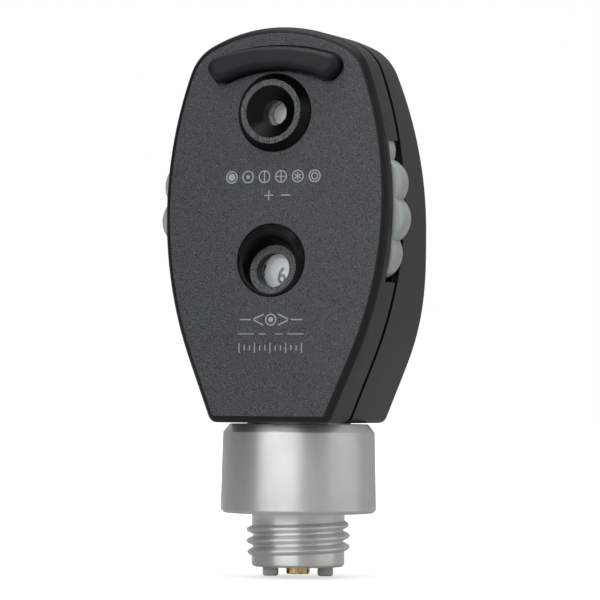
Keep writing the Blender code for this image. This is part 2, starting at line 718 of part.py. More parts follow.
def mirror():
    """Mirror at 45 degrees that turns the beam towards the patient, and its holder on the plate."""
    half = MIRROR_LENGTH / 2
    pane = block((-MIRROR_WIDTH / 2, -half, 0), (MIRROR_WIDTH / 2, half, MIRROR_THICK))
    finish_object(pane, "mirror", mirror_glass(), (0, OPTIC_Y, MIRROR_Z), (pi / 4, 0, 0))
    lift = (MIRROR_THICK + GAP) * sqrt(2)
    back = PLATE_BACK + GAP
    roof = MIRROR_Z + half * sin(pi / 4) + 0.25
    line_z = MIRROR_Z + lift - OPTIC_Y
    wedge = [(back, line_z + back), (roof - line_z, roof), (back, roof)]
    bm = bmesh.new()
    skin(bm, [[(x, y, z) for y, z in wedge] for x in (-MIRROR_WIDTH / 2, MIRROR_WIDTH / 2)])
    finish_object(bm, "mirror_holder", black_plastic())


def window_shape(grow, low, high):
    """Pane with round ends, square to the rear face where it sits; low and high are along its normal."""
    half = WINDOW_STRAIGHT / 2
    radius = WINDOW_HALF + grow
    points = arc((0, half), radius, 0, pi, 10) + arc((0, -half), radius, pi, 2 * pi, 10)
    lean = atan2(rear_y(WINDOW_Z - 1) - rear_y(WINDOW_Z + 1), 2)
    outside = rear_y(WINDOW_Z) - WINDOW_THICK - 0.15
    return prism(points, low, high), (0, outside, WINDOW_Z), (-pi / 2 + lean, 0, 0)


def patient_window():
    pane, place, turn = window_shape(0.0, 0.0, WINDOW_THICK)
    finish_object(pane, "patient_window", clear_glass(), place, turn)


def aperture_wheel():
    """Thumb wheel with five apertures; one holds a star graticule and one a green filter."""
    lobes = 16
    steps = lobes * 3
    bore = APERTURE_AXLE + RUNNING
    centre = (0, APERTURE_Y, 0)

    def rim(height):
        points = []
        for i in range(steps):
            a = 2 * pi * i / steps
            radius = APERTURE_TIP - 0.15 + 0.15 * cos(lobes * a)
            points.append((radius * cos(a), radius * sin(a), height))
        return points

    low, high = APERTURE_LOW, APERTURE_HIGH
    rings = [circle(bore, low, steps), rim(low), rim(high), circle(bore, high, steps)]
    bm = bmesh.new()
    skin(bm, rings, closed=True)
    piece = finish_object(bm, "aperture_disc", black_plastic(), centre)
    holes = (("star", APERTURE_HOLE), ("large", APERTURE_HOLE), ("small", 0.5), ("half", APERTURE_HOLE),
             ("green", APERTURE_HOLE))
    bm = bmesh.new()
    for index, (name, radius) in enumerate(holes):
        a = -pi / 2 + 2 * pi * index / len(holes)
        middle = (APERTURE_RING * cos(a), APERTURE_RING * sin(a))
        if name == "half":
            points = arc(middle, radius, a - pi / 2, a + pi / 2, 10)
            skin(bm, [[(x, y, h) for x, y in points] for h in (low - 1, high + 1)])
        else:
            skin(bm, [circle(radius, h, SMALL_ROUND, middle) for h in (low - 1, high + 1)])
        if name in ("star", "green"):
            node, finish = {"star": ("star_graticule", clear_glass()),
                            "green": ("green_filter", green_glass())}[name]
            glass = turned([(radius - SNUG, low + 0.4), (radius - SNUG, high - 0.4)], SMALL_ROUND)
            finish_object(glass, node, finish, (middle[0], APERTURE_Y + middle[1], 0))
    cut(piece, cutter(bm, "aperture_holes", centre))
    groove = high + GAP
    profile = [(APERTURE_AXLE, BLOCK_Z + 0.1), (APERTURE_AXLE, BLOCK_Z + BLOCK_THICK + GAP),
               (1.3, BLOCK_Z + BLOCK_THICK + GAP), (1.3, low - GAP), (APERTURE_AXLE, low - GAP),
               (APERTURE_AXLE, groove), (0.55, groove), (0.55, groove + 0.4),
               (APERTURE_AXLE, groove + 0.4), (APERTURE_AXLE, groove + 0.8)]
    finish_object(turned(profile, SMALL_ROUND), "aperture_axle", bright_steel(), centre)
    clip = ring_clip(0.65, 1.4, groove + 0.05, groove + 0.35)
    finish_object(clip, "aperture_clip", bright_steel(), centre)


def lamp():
    """LED on its board, on a heat sink inside the spigot."""
    sink_radius = SPIGOT_BORE - GAP
    sink_low, sink_high = SPIGOT_BOTTOM + 1.4, 8.6
    fins = []
    for step in range(4):
        base = sink_low + step * 1.1
        fins += [(sink_radius, base), (sink_radius, base + 0.6), (4.4, base + 0.6), (4.4, base + 1.1)]
    profile = [(1.2, sink_low)] + fins + [(sink_radius, sink_low + 4.4), (sink_radius, sink_high), (1.2, sink_high)]
    finish_object(turned(profile, SMALL_ROUND, closed=True), "heat_sink", aluminium())
    board = turned([(5.0, sink_high + GAP), (5.0, sink_high + GAP + 0.8)], SMALL_ROUND)
    finish_object(board, "led_board", board_green())
    base = sink_high + 2 * GAP + 0.8
    lens = turned([(1.2, base), (1.2, base + 0.4), (1.0, base + 0.9), (0.5, base + 1.2)], SMALL_ROUND)
    finish_object(lens, "led", led_yellow(), (0, OPTIC_Y, 0))


# Collar, neck and contact

def collar():
    """Satin sleeve between the housing and the handle."""
    roof = COLLAR_TOP - COLLAR_ROOF
    profile = [(COLLAR_BORE, 0), (COLLAR_RADIUS - 0.45, 0), (COLLAR_RADIUS, 0.45),
               (COLLAR_TOP_RADIUS, COLLAR_TOP - 1.1), (9.35, COLLAR_TOP), (SPIGOT_RADIUS + GAP, COLLAR_TOP),
               (SPIGOT_RADIUS + GAP, roof), (COLLAR_BORE, roof)]
    finish_object(turned(profile, ROUND, closed=True), "collar", satin_metal())


def threaded_neck():
    """Neck that screws into a handle; its flange sits in the foot of the collar."""
    profile = [(NECK_BORE, FLANGE_THICK), (COLLAR_BORE - GAP, FLANGE_THICK), (COLLAR_BORE - GAP, 0),
               (NECK_RADIUS, 0), (NECK_RADIUS, THREAD_TOP)]
    z = THREAD_TOP
    root = NECK_RADIUS - 0.15
    while z > THREAD_END + 0.1:
        step = min(THREAD_PITCH, z - THREAD_END)
        profile += [(THREAD_RADIUS, z - step * 0.35), (THREAD_RADIUS, z - step * 0.5), (root, z - step)]
        z -= step
    profile += [(NECK_RADIUS, THREAD_END), (NECK_RADIUS, NECK_END + 0.3), (NECK_RADIUS - 0.3, NECK_END),
                (NECK_BORE, NECK_END)]
    finish_object(turned(profile, ROUND, closed=True), "threaded_neck", satin_metal())


def contact_set():
    """Insulator with two posts, sprung centre contact, coil spring and the contact above it."""
    body = NECK_BORE - GAP
    bottom, top = NECK_END + 0.5, -0.6
    room = 2.6
    ledge = CONTACT_END + 3.3
    profile = [(CONTACT_RADIUS + RUNNING, bottom), (body, bottom), (body, top), (room, top),
               (room, ledge), (CONTACT_RADIUS + RUNNING, ledge)]
    piece = finish_object(turned(profile, ROUND, closed=True), "contact_insulator", post_plastic())
    for sign in (-1, 1):
        post = turned([(POST_RADIUS, POST_END), (POST_RADIUS, bottom + 0.8)], SMALL_ROUND)
        place = (sign * POST_RING * cos(POST_TURN), sign * POST_RING * sin(POST_TURN), 0)
        join(piece, cutter(post, "post_%s" % ("left" if sign < 0 else "right"), place))
    flange = ledge + GAP
    plunger = [(0.9, CONTACT_END), (CONTACT_RADIUS - 0.3, CONTACT_END), (CONTACT_RADIUS, CONTACT_END + 0.35),
               (CONTACT_RADIUS, flange), (CONTACT_FLANGE, flange), (CONTACT_FLANGE, flange + 0.5),
               (1.2, flange + 0.5), (1.2, flange + 0.9)]
    finish_object(turned(plunger, SMALL_ROUND), "centre_contact", gold())
    disc = top - 0.6
    upper = [(1.2, disc - 0.1), (room - GAP, disc - 0.1), (room - GAP, disc + 0.4), (0.6, disc + 0.4),
             (0.6, SPIGOT_BOTTOM + 1.4 + 2.5)]
    finish_object(turned(upper, SMALL_ROUND), "upper_contact", gold())
    contact_spring(flange + 0.5 + GAP + SPRING_WIRE, disc - 0.1 - GAP - SPRING_WIRE)


def contact_spring(low, high):
    """Helical wire between the plunger's flange and the upper contact."""
    coil = CONTACT_FLANGE - SPRING_WIRE - 0.05
    steps = int(SPRING_TURNS * 12)
    curve = bpy.data.curves.new("contact_spring", "CURVE")
    curve.dimensions = "3D"
    spline = curve.splines.new("POLY")
    spline.points.add(steps)
    for i, point in enumerate(spline.points):
        a = 2 * pi * SPRING_TURNS * i / steps
        z = low + (high - low) * i / steps
        point.co = (coil * cos(a) * MM, coil * sin(a) * MM, z * MM, 1)
    curve.bevel_depth = SPRING_WIRE * MM
    curve.bevel_resolution = 1
    curve.use_fill_caps = True
    curve.materials.append(bright_steel())
    piece = bpy.data.objects.new("contact_spring", curve)
    bpy.context.scene.collection.objects.link(piece)


def build():
    for old in list(bpy.data.objects):
        bpy.data.objects.remove(old, do_unlink=True)
    front_cover()
    rear_cover()
    housing_screws()
    brow_rest()
    sight_eyepiece()
    dioptre_hood()
    lens_disc()
    wheel_grip()
    correction_lenses()
    wheel_axle()
    chassis(detent_spring())
    light_path()
    mirror()
    patient_window()
    aperture_wheel()
    lamp()
    collar()
    threaded_neck()
    contact_set()


build()
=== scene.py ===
import json
from math import asin, atan2, cos, pi, radians, sin, sqrt, tan

import bmesh
import bpy
from mathutils import Matrix, Vector


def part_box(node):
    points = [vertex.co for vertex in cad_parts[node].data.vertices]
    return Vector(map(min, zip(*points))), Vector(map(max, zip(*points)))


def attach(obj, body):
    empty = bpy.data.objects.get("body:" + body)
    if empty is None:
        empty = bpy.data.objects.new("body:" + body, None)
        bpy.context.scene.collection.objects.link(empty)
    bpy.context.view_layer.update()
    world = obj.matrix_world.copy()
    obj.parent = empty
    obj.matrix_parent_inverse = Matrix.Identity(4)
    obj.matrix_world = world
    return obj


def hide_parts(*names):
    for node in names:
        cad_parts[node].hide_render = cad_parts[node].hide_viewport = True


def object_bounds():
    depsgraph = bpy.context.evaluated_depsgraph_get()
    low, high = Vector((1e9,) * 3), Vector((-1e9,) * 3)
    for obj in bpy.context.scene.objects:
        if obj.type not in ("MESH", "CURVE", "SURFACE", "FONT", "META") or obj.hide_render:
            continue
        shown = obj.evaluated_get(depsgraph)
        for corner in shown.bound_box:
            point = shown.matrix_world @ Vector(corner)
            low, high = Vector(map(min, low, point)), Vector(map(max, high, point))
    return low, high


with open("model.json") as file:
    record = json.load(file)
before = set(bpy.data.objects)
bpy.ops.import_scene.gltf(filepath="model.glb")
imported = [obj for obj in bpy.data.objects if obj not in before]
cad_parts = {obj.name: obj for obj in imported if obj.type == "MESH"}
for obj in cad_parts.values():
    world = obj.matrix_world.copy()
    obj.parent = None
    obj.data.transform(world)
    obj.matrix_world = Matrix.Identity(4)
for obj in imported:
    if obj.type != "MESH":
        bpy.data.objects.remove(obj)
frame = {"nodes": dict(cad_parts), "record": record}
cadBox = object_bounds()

mm = 0.001
scene = bpy.context.scene
nodes = frame["nodes"]
toExaminer = Matrix.Rotation(pi / 2, 4, "X")     # a shape's +Z turned to face the examiner


# small tools

def linear(code):
    # sRGB hex to the linear colour the shader wants
    parts = [int(code[i:i + 2], 16) / 255 for i in (1, 3, 5)]
    return tuple(c / 12.92 if c <= 0.04045 else ((c + 0.055) / 1.055) ** 2.4 for c in parts) + (1.0,)


def add(tree, kind, settings, **inputs):
    # one node with its settings; an input is a value, or a socket to link from
    made = tree.nodes.new(kind)
    for key, value in settings.items():
        setattr(made, key, value)
    for key, value in inputs.items():
        numbered = key[0] == "i" and key[1:].isdigit()
        socket = made.inputs[int(key[1:]) if numbered else key.replace("_", " ")]
        if isinstance(value, bpy.types.NodeSocket):
            tree.links.new(value, socket)
        else:
            socket.default_value = value
    return made


def blankMaterial(name):
    made = bpy.data.materials.new(name)
    made.use_nodes = True
    return made, made.node_tree, made.node_tree.nodes["Principled BSDF"]


def setShader(shader, **values):
    for key, value in values.items():
        shader.inputs[key.replace("_", " ")].default_value = value


def toObject(bm, name, material, flat=30.0):
    # bmesh in millimetres to an object at the origin, in metres
    bmesh.ops.remove_doubles(bm, verts=bm.verts, dist=0.0005)
    bmesh.ops.recalc_face_normals(bm, faces=bm.faces)
    bmesh.ops.scale(bm, vec=(mm, mm, mm), verts=bm.verts)
    mesh = bpy.data.meshes.new(name)
    bm.to_mesh(mesh)
    bm.free()
    mesh.shade_smooth()
    mesh.set_sharp_from_angle(angle=radians(flat))
    piece = bpy.data.objects.new(name, mesh)
    scene.collection.objects.link(piece)
    if material:
        mesh.materials.append(material)
    return piece


def bake(piece):
    # puts the modifiers' result into the mesh
    bpy.context.view_layer.update()
    graph = bpy.context.evaluated_depsgraph_get()
    mesh = bpy.data.meshes.new_from_object(piece.evaluated_get(graph))
    piece.modifiers.clear()
    piece.data = mesh


def combine(piece, tools, operation="DIFFERENCE", flat=30.0):
    # cuts or joins with helper shapes, which are then thrown away
    for tool in tools:
        step = piece.modifiers.new("work", "BOOLEAN")
        step.object = tool
        step.operation = operation
        step.solver = "EXACT"
        bake(piece)
        bpy.data.objects.remove(tool)
        if not piece.data.polygons:
            raise ValueError(piece.name + " was lost in a cut")
    piece.data.shade_smooth()
    piece.data.set_sharp_from_angle(angle=radians(flat))
    return piece


def finishPiece(piece, body, slot, *replaced):
    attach(piece, body)
    if replaced:
        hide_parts(*replaced)
    return piece


def trace(bm, start, moves):
    # a line of edges: each move is a point, or an arc (centre, radians, steps) about Z
    tip = first = bm.verts.new(start)
    for move in moves:
        if len(move) == 3 and isinstance(move[0], Vector):
            centre, angle, steps = move
            done = bmesh.ops.spin(bm, geom=[tip], cent=centre, axis=(0, 0, 1), angle=angle, steps=steps,
                                  use_merge=False, use_duplicate=False)
            tip = [v for v in done["geom_last"] if isinstance(v, bmesh.types.BMVert)][0]
        else:
            done = bmesh.ops.extrude_vert_indiv(bm, verts=[tip])
            tip = done["verts"][0]
            tip.co = move
    return first, tip


def fillAndExtrude(bm, low, high):
    # the traced outline lies at z 0: fill it, set it at low and pull it up to high
    bmesh.ops.remove_doubles(bm, verts=bm.verts, dist=0.0005)
    face = bmesh.ops.contextual_create(bm, geom=bm.edges[:])["faces"]
    bmesh.ops.translate(bm, vec=(0, 0, low), verts=bm.verts)
    pulled = bmesh.ops.extrude_face_region(bm, geom=face, use_keep_orig=True)["geom"]
    top = [v for v in pulled if isinstance(v, bmesh.types.BMVert)]
    bmesh.ops.translate(bm, vec=(0, 0, high - low), verts=top)
    bmesh.ops.recalc_face_normals(bm, faces=bm.faces)


def rimEdges(bm, height):
    return [e for e in bm.edges if all(abs(v.co.z - height) < 1e-4 for v in e.verts)]


def roundOff(bm, edges, width, segments, clamp=False):
    bmesh.ops.bevel(bm, geom=edges, offset=width, offset_type="OFFSET", segments=segments, profile=0.5,
                    affect="EDGES", material=-1, clamp_overlap=clamp)


def lathe(profile, steps=96, closed=False, softened=0.0, segments=2):
    # (radius, height) corners spun about Z; softened rounds every ring that turns a corner
    bm = bmesh.new()
    line = [bm.verts.new((r, 0, h)) for r, h in profile]
    for a, b in zip(line, line[1:]):
        bm.edges.new((a, b))
    if closed:
        bm.edges.new((line[-1], line[0]))
    bmesh.ops.spin(bm, geom=bm.verts[:] + bm.edges[:], cent=(0, 0, 0), axis=(0, 0, 1), angle=2 * pi,
                   steps=steps, use_merge=True)
    bmesh.ops.remove_doubles(bm, verts=bm.verts, dist=0.0005)
    bmesh.ops.holes_fill(bm, edges=[e for e in bm.edges if e.is_boundary], sides=0)
    bmesh.ops.recalc_face_normals(bm, faces=bm.faces)
    if softened:
        corners = [e for e in bm.edges if len(e.link_faces) == 2 and e.calc_face_angle() > radians(18)
                   and abs(e.verts[0].co.z - e.verts[1].co.z) < 1e-4]
        roundOff(bm, corners, softened, segments)
    return bm


def column(radius, low, high, steps=64):
    bm = bmesh.new()
    middle = Matrix.Translation((0, 0, (low + high) / 2))
    bmesh.ops.create_cone(bm, cap_ends=True, segments=steps, radius1=radius, radius2=radius,
                          depth=high - low, matrix=middle)
    return bm


def slab(low, high):
    bm = bmesh.new()
    size = Vector(high) - Vector(low)
    bmesh.ops.create_cube(bm, size=1, matrix=Matrix.Translation((Vector(low) + Vector(high)) / 2)
                          @ Matrix.Diagonal((*size, 1)))
    return bm


def gather(parts):
    # several shapes into one
    bm = bmesh.new()
    for part in parts:
        mesh = bpy.data.meshes.new("part")
        part.to_mesh(mesh)
        part.free()
        bm.from_mesh(mesh)
        bpy.data.meshes.remove(mesh)
    return bm


def lobedOutline(tip, valley, lobes, steps):
    # one lobe's arc from valley to valley, repeated round Z
    turn = 2 * pi / lobes
    x, y = valley * sin(turn / 2), valley * cos(turn / 2)
    drop = tip - y
    lobe = (x ** 2 + drop ** 2) / (2 * drop)
    bm = bmesh.new()
    trace(bm, (x, y, 0), [(Vector((0, tip - lobe, 0)), 2 * asin(x / lobe), steps)])
    bmesh.ops.spin(bm, geom=bm.verts[:] + bm.edges[:], cent=(0, 0, 0), axis=(0, 0, 1),
                   angle=2 * pi * (lobes - 1) / lobes, steps=lobes - 1, use_duplicate=True)
    return bm


def moved(bm, matrix):
    bmesh.ops.transform(bm, matrix=matrix, verts=bm.verts)
    return bm


# finishes

def texturedAbs(name, colour, light, roughness, grain, depth, shine=0.5):
    # ABS moulded in a spark-eroded tool: fine pits that scatter light, so it never shines; the light colour
    # of the speckle is real grain with painted sheen in it
    made, tree, shader = blankMaterial(name)
    place = add(tree, "ShaderNodeTexCoord", {})
    fine = add(tree, "ShaderNodeTexNoise", {"noise_dimensions": "3D"}, Vector=place.outputs["Object"],
               Scale=1 / (grain * mm), Detail=1.0, Roughness=0.6)
    cloud = add(tree, "ShaderNodeTexNoise", {}, Vector=place.outputs["Object"],
                Scale=1 / (2.5 * mm), Detail=2.0)
    mixIn = add(tree, "ShaderNodeMath", {"operation": "MULTIPLY_ADD"}, i0=cloud.outputs["Fac"], i1=0.05,
                i2=fine.outputs["Fac"])
    ramp = add(tree, "ShaderNodeValToRGB", {}, Fac=mixIn.outputs[0])
    ramp.color_ramp.elements[0].position = 0.4
    ramp.color_ramp.elements[0].color = linear(colour)
    ramp.color_ramp.elements[1].position = 0.66
    ramp.color_ramp.elements[1].color = linear(light)
    bump = add(tree, "ShaderNodeBump", {}, Height=fine.outputs["Fac"], Strength=depth, Distance=0.05 * mm)
    tree.links.new(ramp.outputs["Color"], shader.inputs["Base Color"])
    tree.links.new(bump.outputs["Normal"], shader.inputs["Normal"])
    setShader(shader, Roughness=roughness, IOR=1.53, Specular_IOR_Level=shine)
    return made


def polishedAbs():
    # glossy black ABS of the eyepiece: deep black with a soft broad reflection
    made, tree, shader = blankMaterial("polishedBlackAbs")
    place = add(tree, "ShaderNodeTexCoord", {})
    haze = add(tree, "ShaderNodeTexNoise", {}, Vector=place.outputs["Object"],
               Scale=1 / (1.2 * mm), Detail=3.0)
    rough = add(tree, "ShaderNodeMapRange", {}, Value=haze.outputs["Fac"], To_Min=0.26, To_Max=0.36)
    tree.links.new(rough.outputs[0], shader.inputs["Roughness"])
    setShader(shader, Base_Color=linear("#050606"), IOR=1.53, Specular_IOR_Level=0.15)
    return made


def rubber():
    # silicone rubber of the brow rest: no gloss, a dusty bloom on top
    made, tree, shader = blankMaterial("siliconeRubber")
    place = add(tree, "ShaderNodeTexCoord", {})
    bloom = add(tree, "ShaderNodeTexNoise", {}, Vector=place.outputs["Object"],
                Scale=1 / (0.9 * mm), Detail=5.0)
    ramp = add(tree, "ShaderNodeValToRGB", {}, Fac=bloom.outputs["Fac"])
    ramp.color_ramp.elements[0].position = 0.3
    ramp.color_ramp.elements[0].color = linear("#0c0f11")
    ramp.color_ramp.elements[1].position = 0.75
    ramp.color_ramp.elements[1].color = linear("#16191b")
    bump = add(tree, "ShaderNodeBump", {}, Height=bloom.outputs["Fac"], Strength=0.15, Distance=0.03 * mm)
    tree.links.new(ramp.outputs["Color"], shader.inputs["Base Color"])
    tree.links.new(bump.outputs["Normal"], shader.inputs["Normal"])
    setShader(shader, Roughness=0.45, IOR=1.45, Specular_IOR_Level=0.3)
    return made


def gripAbs():
    # light grey ABS of the lens wheel: slightly milky, so light bleeds into its lobes
    made, tree, shader = blankMaterial("satinGreyAbs")
    place = add(tree, "ShaderNodeTexCoord", {})
    cloud = add(tree, "ShaderNodeTexNoise", {}, Vector=place.outputs["Object"],
                Scale=1 / (1.5 * mm), Detail=3.0)
    ramp = add(tree, "ShaderNodeValToRGB", {}, Fac=cloud.outputs["Fac"])
    ramp.color_ramp.elements[0].color = linear("#8f9594")
    ramp.color_ramp.elements[1].color = linear("#a3a8a6")
    tree.links.new(ramp.outputs["Color"], shader.inputs["Base Color"])
    setShader(shader, Roughness=0.42, IOR=1.53, Subsurface_Weight=0.15, Subsurface_Scale=0.4 * mm)
    return made


def plainPlastic(name, dark, light, roughness, size):
    # moulded plastic with the faint clouding of its melt
    made, tree, shader = blankMaterial(name)
    place = add(tree, "ShaderNodeTexCoord", {})
    cloud = add(tree, "ShaderNodeTexNoise", {}, Vector=place.outputs["Object"],
                Scale=1 / (size * mm), Detail=4.0)
    ramp = add(tree, "ShaderNodeValToRGB", {}, Fac=cloud.outputs["Fac"])
    ramp.color_ramp.elements[0].color = linear(dark)
    ramp.color_ramp.elements[1].color = linear(light)
    bump = add(tree, "ShaderNodeBump", {}, Height=cloud.outputs["Fac"], Strength=0.1, Distance=0.02 * mm)
    tree.links.new(ramp.outputs["Color"], shader.inputs["Base Color"])
    tree.links.new(bump.outputs["Normal"], shader.inputs["Normal"])
    setShader(shader, Roughness=roughness, IOR=1.53)
    return made


def turnedMetal(name, colour, roughness, pitch, depth, stretch=0.5):
    # metal turned on a lathe about the upright axis: rings a fraction of a millimetre apart
    made, tree, shader = blankMaterial(name)
    place = add(tree, "ShaderNodeTexCoord", {})
    split = add(tree, "ShaderNodeSeparateXYZ", {}, Vector=place.outputs["Object"])
    height = add(tree, "ShaderNodeCombineXYZ", {}, Z=split.outputs["Z"])
    rings = add(tree, "ShaderNodeTexNoise", {}, Vector=height.outputs[0], Scale=1 / (pitch * mm), Detail=4.0,
                Roughness=0.7)
    cloud = add(tree, "ShaderNodeTexNoise", {}, Vector=place.outputs["Object"],
                Scale=1 / (3 * mm), Detail=3.0)
    both = add(tree, "ShaderNodeMath", {"operation": "MULTIPLY"}, i0=rings.outputs["Fac"],
               i1=cloud.outputs["Fac"])
    rough = add(tree, "ShaderNodeMapRange", {}, Value=both.outputs[0], From_Min=0.1, From_Max=0.4,
                To_Min=roughness * 0.85, To_Max=roughness * 1.2)
    bump = add(tree, "ShaderNodeBump", {}, Height=rings.outputs["Fac"], Strength=depth, Distance=0.02 * mm)
    tangent = add(tree, "ShaderNodeTangent", {"direction_type": "RADIAL", "axis": "Z"})
    tree.links.new(rough.outputs[0], shader.inputs["Roughness"])
    tree.links.new(bump.outputs["Normal"], shader.inputs["Normal"])
    tree.links.new(tangent.outputs[0], shader.inputs["Tangent"])
    # the grooves run round, so they smear a reflection up and down: a quarter turn from the tangent
    setShader(shader, Base_Color=linear(colour), Metallic=1.0, Anisotropic=stretch, Anisotropic_Rotation=0.25)
    return made


def plainMetal(name, dark, light, roughness):
    # bright steel and other bare metal, with the slight mottling of handling
    made, tree, shader = blankMaterial(name)
    place = add(tree, "ShaderNodeTexCoord", {})
    cloud = add(tree, "ShaderNodeTexNoise", {}, Vector=place.outputs["Object"],
                Scale=1 / (0.6 * mm), Detail=5.0)
    ramp = add(tree, "ShaderNodeValToRGB", {}, Fac=cloud.outputs["Fac"])
    ramp.color_ramp.elements[0].color = linear(dark)
    ramp.color_ramp.elements[1].color = linear(light)
    rough = add(tree, "ShaderNodeMapRange", {}, Value=cloud.outputs["Fac"], To_Min=roughness * 0.8,
                To_Max=roughness * 1.3)
    tree.links.new(ramp.outputs["Color"], shader.inputs["Base Color"])
    tree.links.new(rough.outputs[0], shader.inputs["Roughness"])
    setShader(shader, Metallic=1.0)
    return made


def glass(name, colour, roughness=0.0):
    # polished optical glass: a trace of coating haze breaks the reflection
    made, tree, shader = blankMaterial(name)
    place = add(tree, "ShaderNodeTexCoord", {})
    haze = add(tree, "ShaderNodeTexNoise", {}, Vector=place.outputs["Object"], Scale=1 / (2 * mm), Detail=2.0)
    rough = add(tree, "ShaderNodeMapRange", {}, Value=haze.outputs["Fac"], To_Min=roughness,
                To_Max=roughness + 0.02)
    tree.links.new(rough.outputs[0], shader.inputs["Roughness"])
    setShader(shader, Base_Color=linear(colour), Transmission_Weight=1.0, IOR=1.5)
    # light that only passes through is let by, or all behind the glass would stay black
    ray = add(tree, "ShaderNodeLightPath", {})
    either = add(tree, "ShaderNodeMath", {"operation": "MAXIMUM"}, i0=ray.outputs["Is Shadow Ray"],
                 i1=ray.outputs["Is Diffuse Ray"])
    clear = add(tree, "ShaderNodeBsdfTransparent", {}, Color=linear(colour))
    mixed = add(tree, "ShaderNodeMixShader", {}, i0=either.outputs[0], i1=shader.outputs[0],
                i2=clear.outputs[0])
    tree.links.new(mixed.outputs[0], tree.nodes["Material Output"].inputs["Surface"])
    return made


finishes = {
    # one black ABS in three copies: the front face's light speckle is real grain with painted sheen in it,
    # the rim is painted near-black shade, the sides are painted dim warm shade
    "housing_plastic": texturedAbs("sparkErodedAbsPaintedSheen", "#020304", "#464d52", 0.55, 0.13, 0.9),
    "rim_painted_shade": texturedAbs("smoothRimAbsPaintedShade", "#0b0c0c", "#0e0f0f", 0.4, 0.3, 0.05, 0.25),
    "side_painted_shade": texturedAbs("sideAbsPaintedWarmShade", "#0f0e0a", "#35302a", 0.5, 0.14, 0.4, 0.35),
    "black_plastic": polishedAbs(),
    "ring_plastic": texturedAbs("texturedRingAbs", "#0c0e0f", "#565c5e", 0.55, 0.18, 0.7),
    "black_rubber": rubber(),
    "grip_plastic": gripAbs(),
    "white_plastic": plainPlastic("whiteAcetal", "#d9dbdc", "#e9ebec", 0.35, 2.0),
    "post_plastic": plainPlastic("greenGreyNylon", "#b4bdad", "#c9d1c2", 0.5, 0.8),
    "bright_steel": plainMetal("brightSteel", "#a5a5a2", "#c6c6c2", 0.25),
    "satin_metal": turnedMetal("satinChromedBrass", "#d2d4d1", 0.44, 0.5, 0.01, 0.8),
    "thread_metal": turnedMetal("brightChromedBrass", "#dcdddb", 0.38, 0.2, 0.3, 0.9),
    "aluminium": plainMetal("castAluminium", "#b0b1b2", "#cdcecf", 0.35),
    "gold": plainMetal("goldPlate", "#cfae70", "#e6cb98", 0.22),
    "clear_glass": glass("opticalGlass", "#fbfdfd"),
    "green_glass": glass("greenFilterGlass", "#2fae55"),
    "mirror_glass": plainMetal("frontSilveredMirror", "#e6e8ea", "#eceef0", 0.03),
    "board_green": plainPlastic("solderResist", "#1d5a33", "#27703f", 0.35, 0.7),
    "led_yellow": plainPlastic("lampLens", "#e0cf7a", "#efe3a0", 0.15, 0.5),
    # the sight lens as opaque near-white plastic in place of glass: painted light standing for the daylight
    # that comes in through the patient window
    "sight_painted_light": plainPlastic("lensPaintedBright", "#e6eaea", "#f6f8f8", 0.12, 1.5),
    "print_ink": plainPlastic("greyPadInk", "#8b8f91", "#a2a6a8", 0.6, 0.3),
    "number_ink": plainPlastic("darkPadInk", "#26292b", "#34373a", 0.6, 0.3),
}
slotOf = {part["node"]: part["material_slot"] for part in frame["record"]["subparts"]}
for nodeName, nodeObject in nodes.items():
    nodeObject.data.materials.clear()
    # the sight lens takes the opaque white with painted light instead of its glass
    finish = "sight_painted_light" if nodeName == "lens_plus_06" else slotOf[nodeName]
    nodeObject.data.materials.append(finishes[finish])
    nodeObject.data.set_sharp_from_angle(angle=radians(30))
print("finishes ready")


# housing: both covers share one outline, made of four arcs a side and a straight foot

housing = {
    "top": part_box("front_cover")[1].z / mm, "bottom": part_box("front_cover")[0].z / mm,
    "halfWidth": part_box("front_cover")[1].x / mm, "widest": 41.0, "sideRadius": 53.0, "topRadius": 22.0,
    "topCorner": 6.5, "bottomCorner": 1.3, "shoulder": 20.6, "faceY": -10.1, "faceAt": 33.75,
    "lean": radians(2.6), "seam": -3.6, "seamGap": 0.9, "wall": 1.3, "rim": 1.1, "dome": 0.8, "rearLow": 10.5,
    "rearMid": 6.0, "rearSlope": 0.15, "blend": (18.0, 38.0),
    "flat": 5.0, "sliceFrom": 13.5, "sliceStep": 0.8,
}
wheel = {
    "centre": Vector((0, 0, 40.5)), "tip": 17.7, "valley": 16.6, "lobes": 19, "front": -6.8, "back": -3.8,
    "inner": 14.9, "seat": 15.6, "round": 0.85, "numberRing": 8.75, "numberSize": 2.9,
    "lensRing": 12.95, "slot": 9.15,
}


def faceY(z):
    return housing["faceY"] + (z - housing["faceAt"]) * tan(housing["lean"])


def rearY(z):
    low, high = housing["blend"]
    t = min(max((z - low) / (high - low), 0), 1)
    upper = housing["rearMid"] - (z - housing["widest"]) * housing["rearSlope"]
    return housing["rearLow"] + (3 * t * t - 2 * t ** 3) * (upper - housing["rearLow"])


def onFace(z):
    # places a shape made about Z square on the leaning front face
    return Matrix.Translation((0, faceY(z), z)) @ Matrix.Rotation(pi / 2 - housing["lean"], 4, "X")


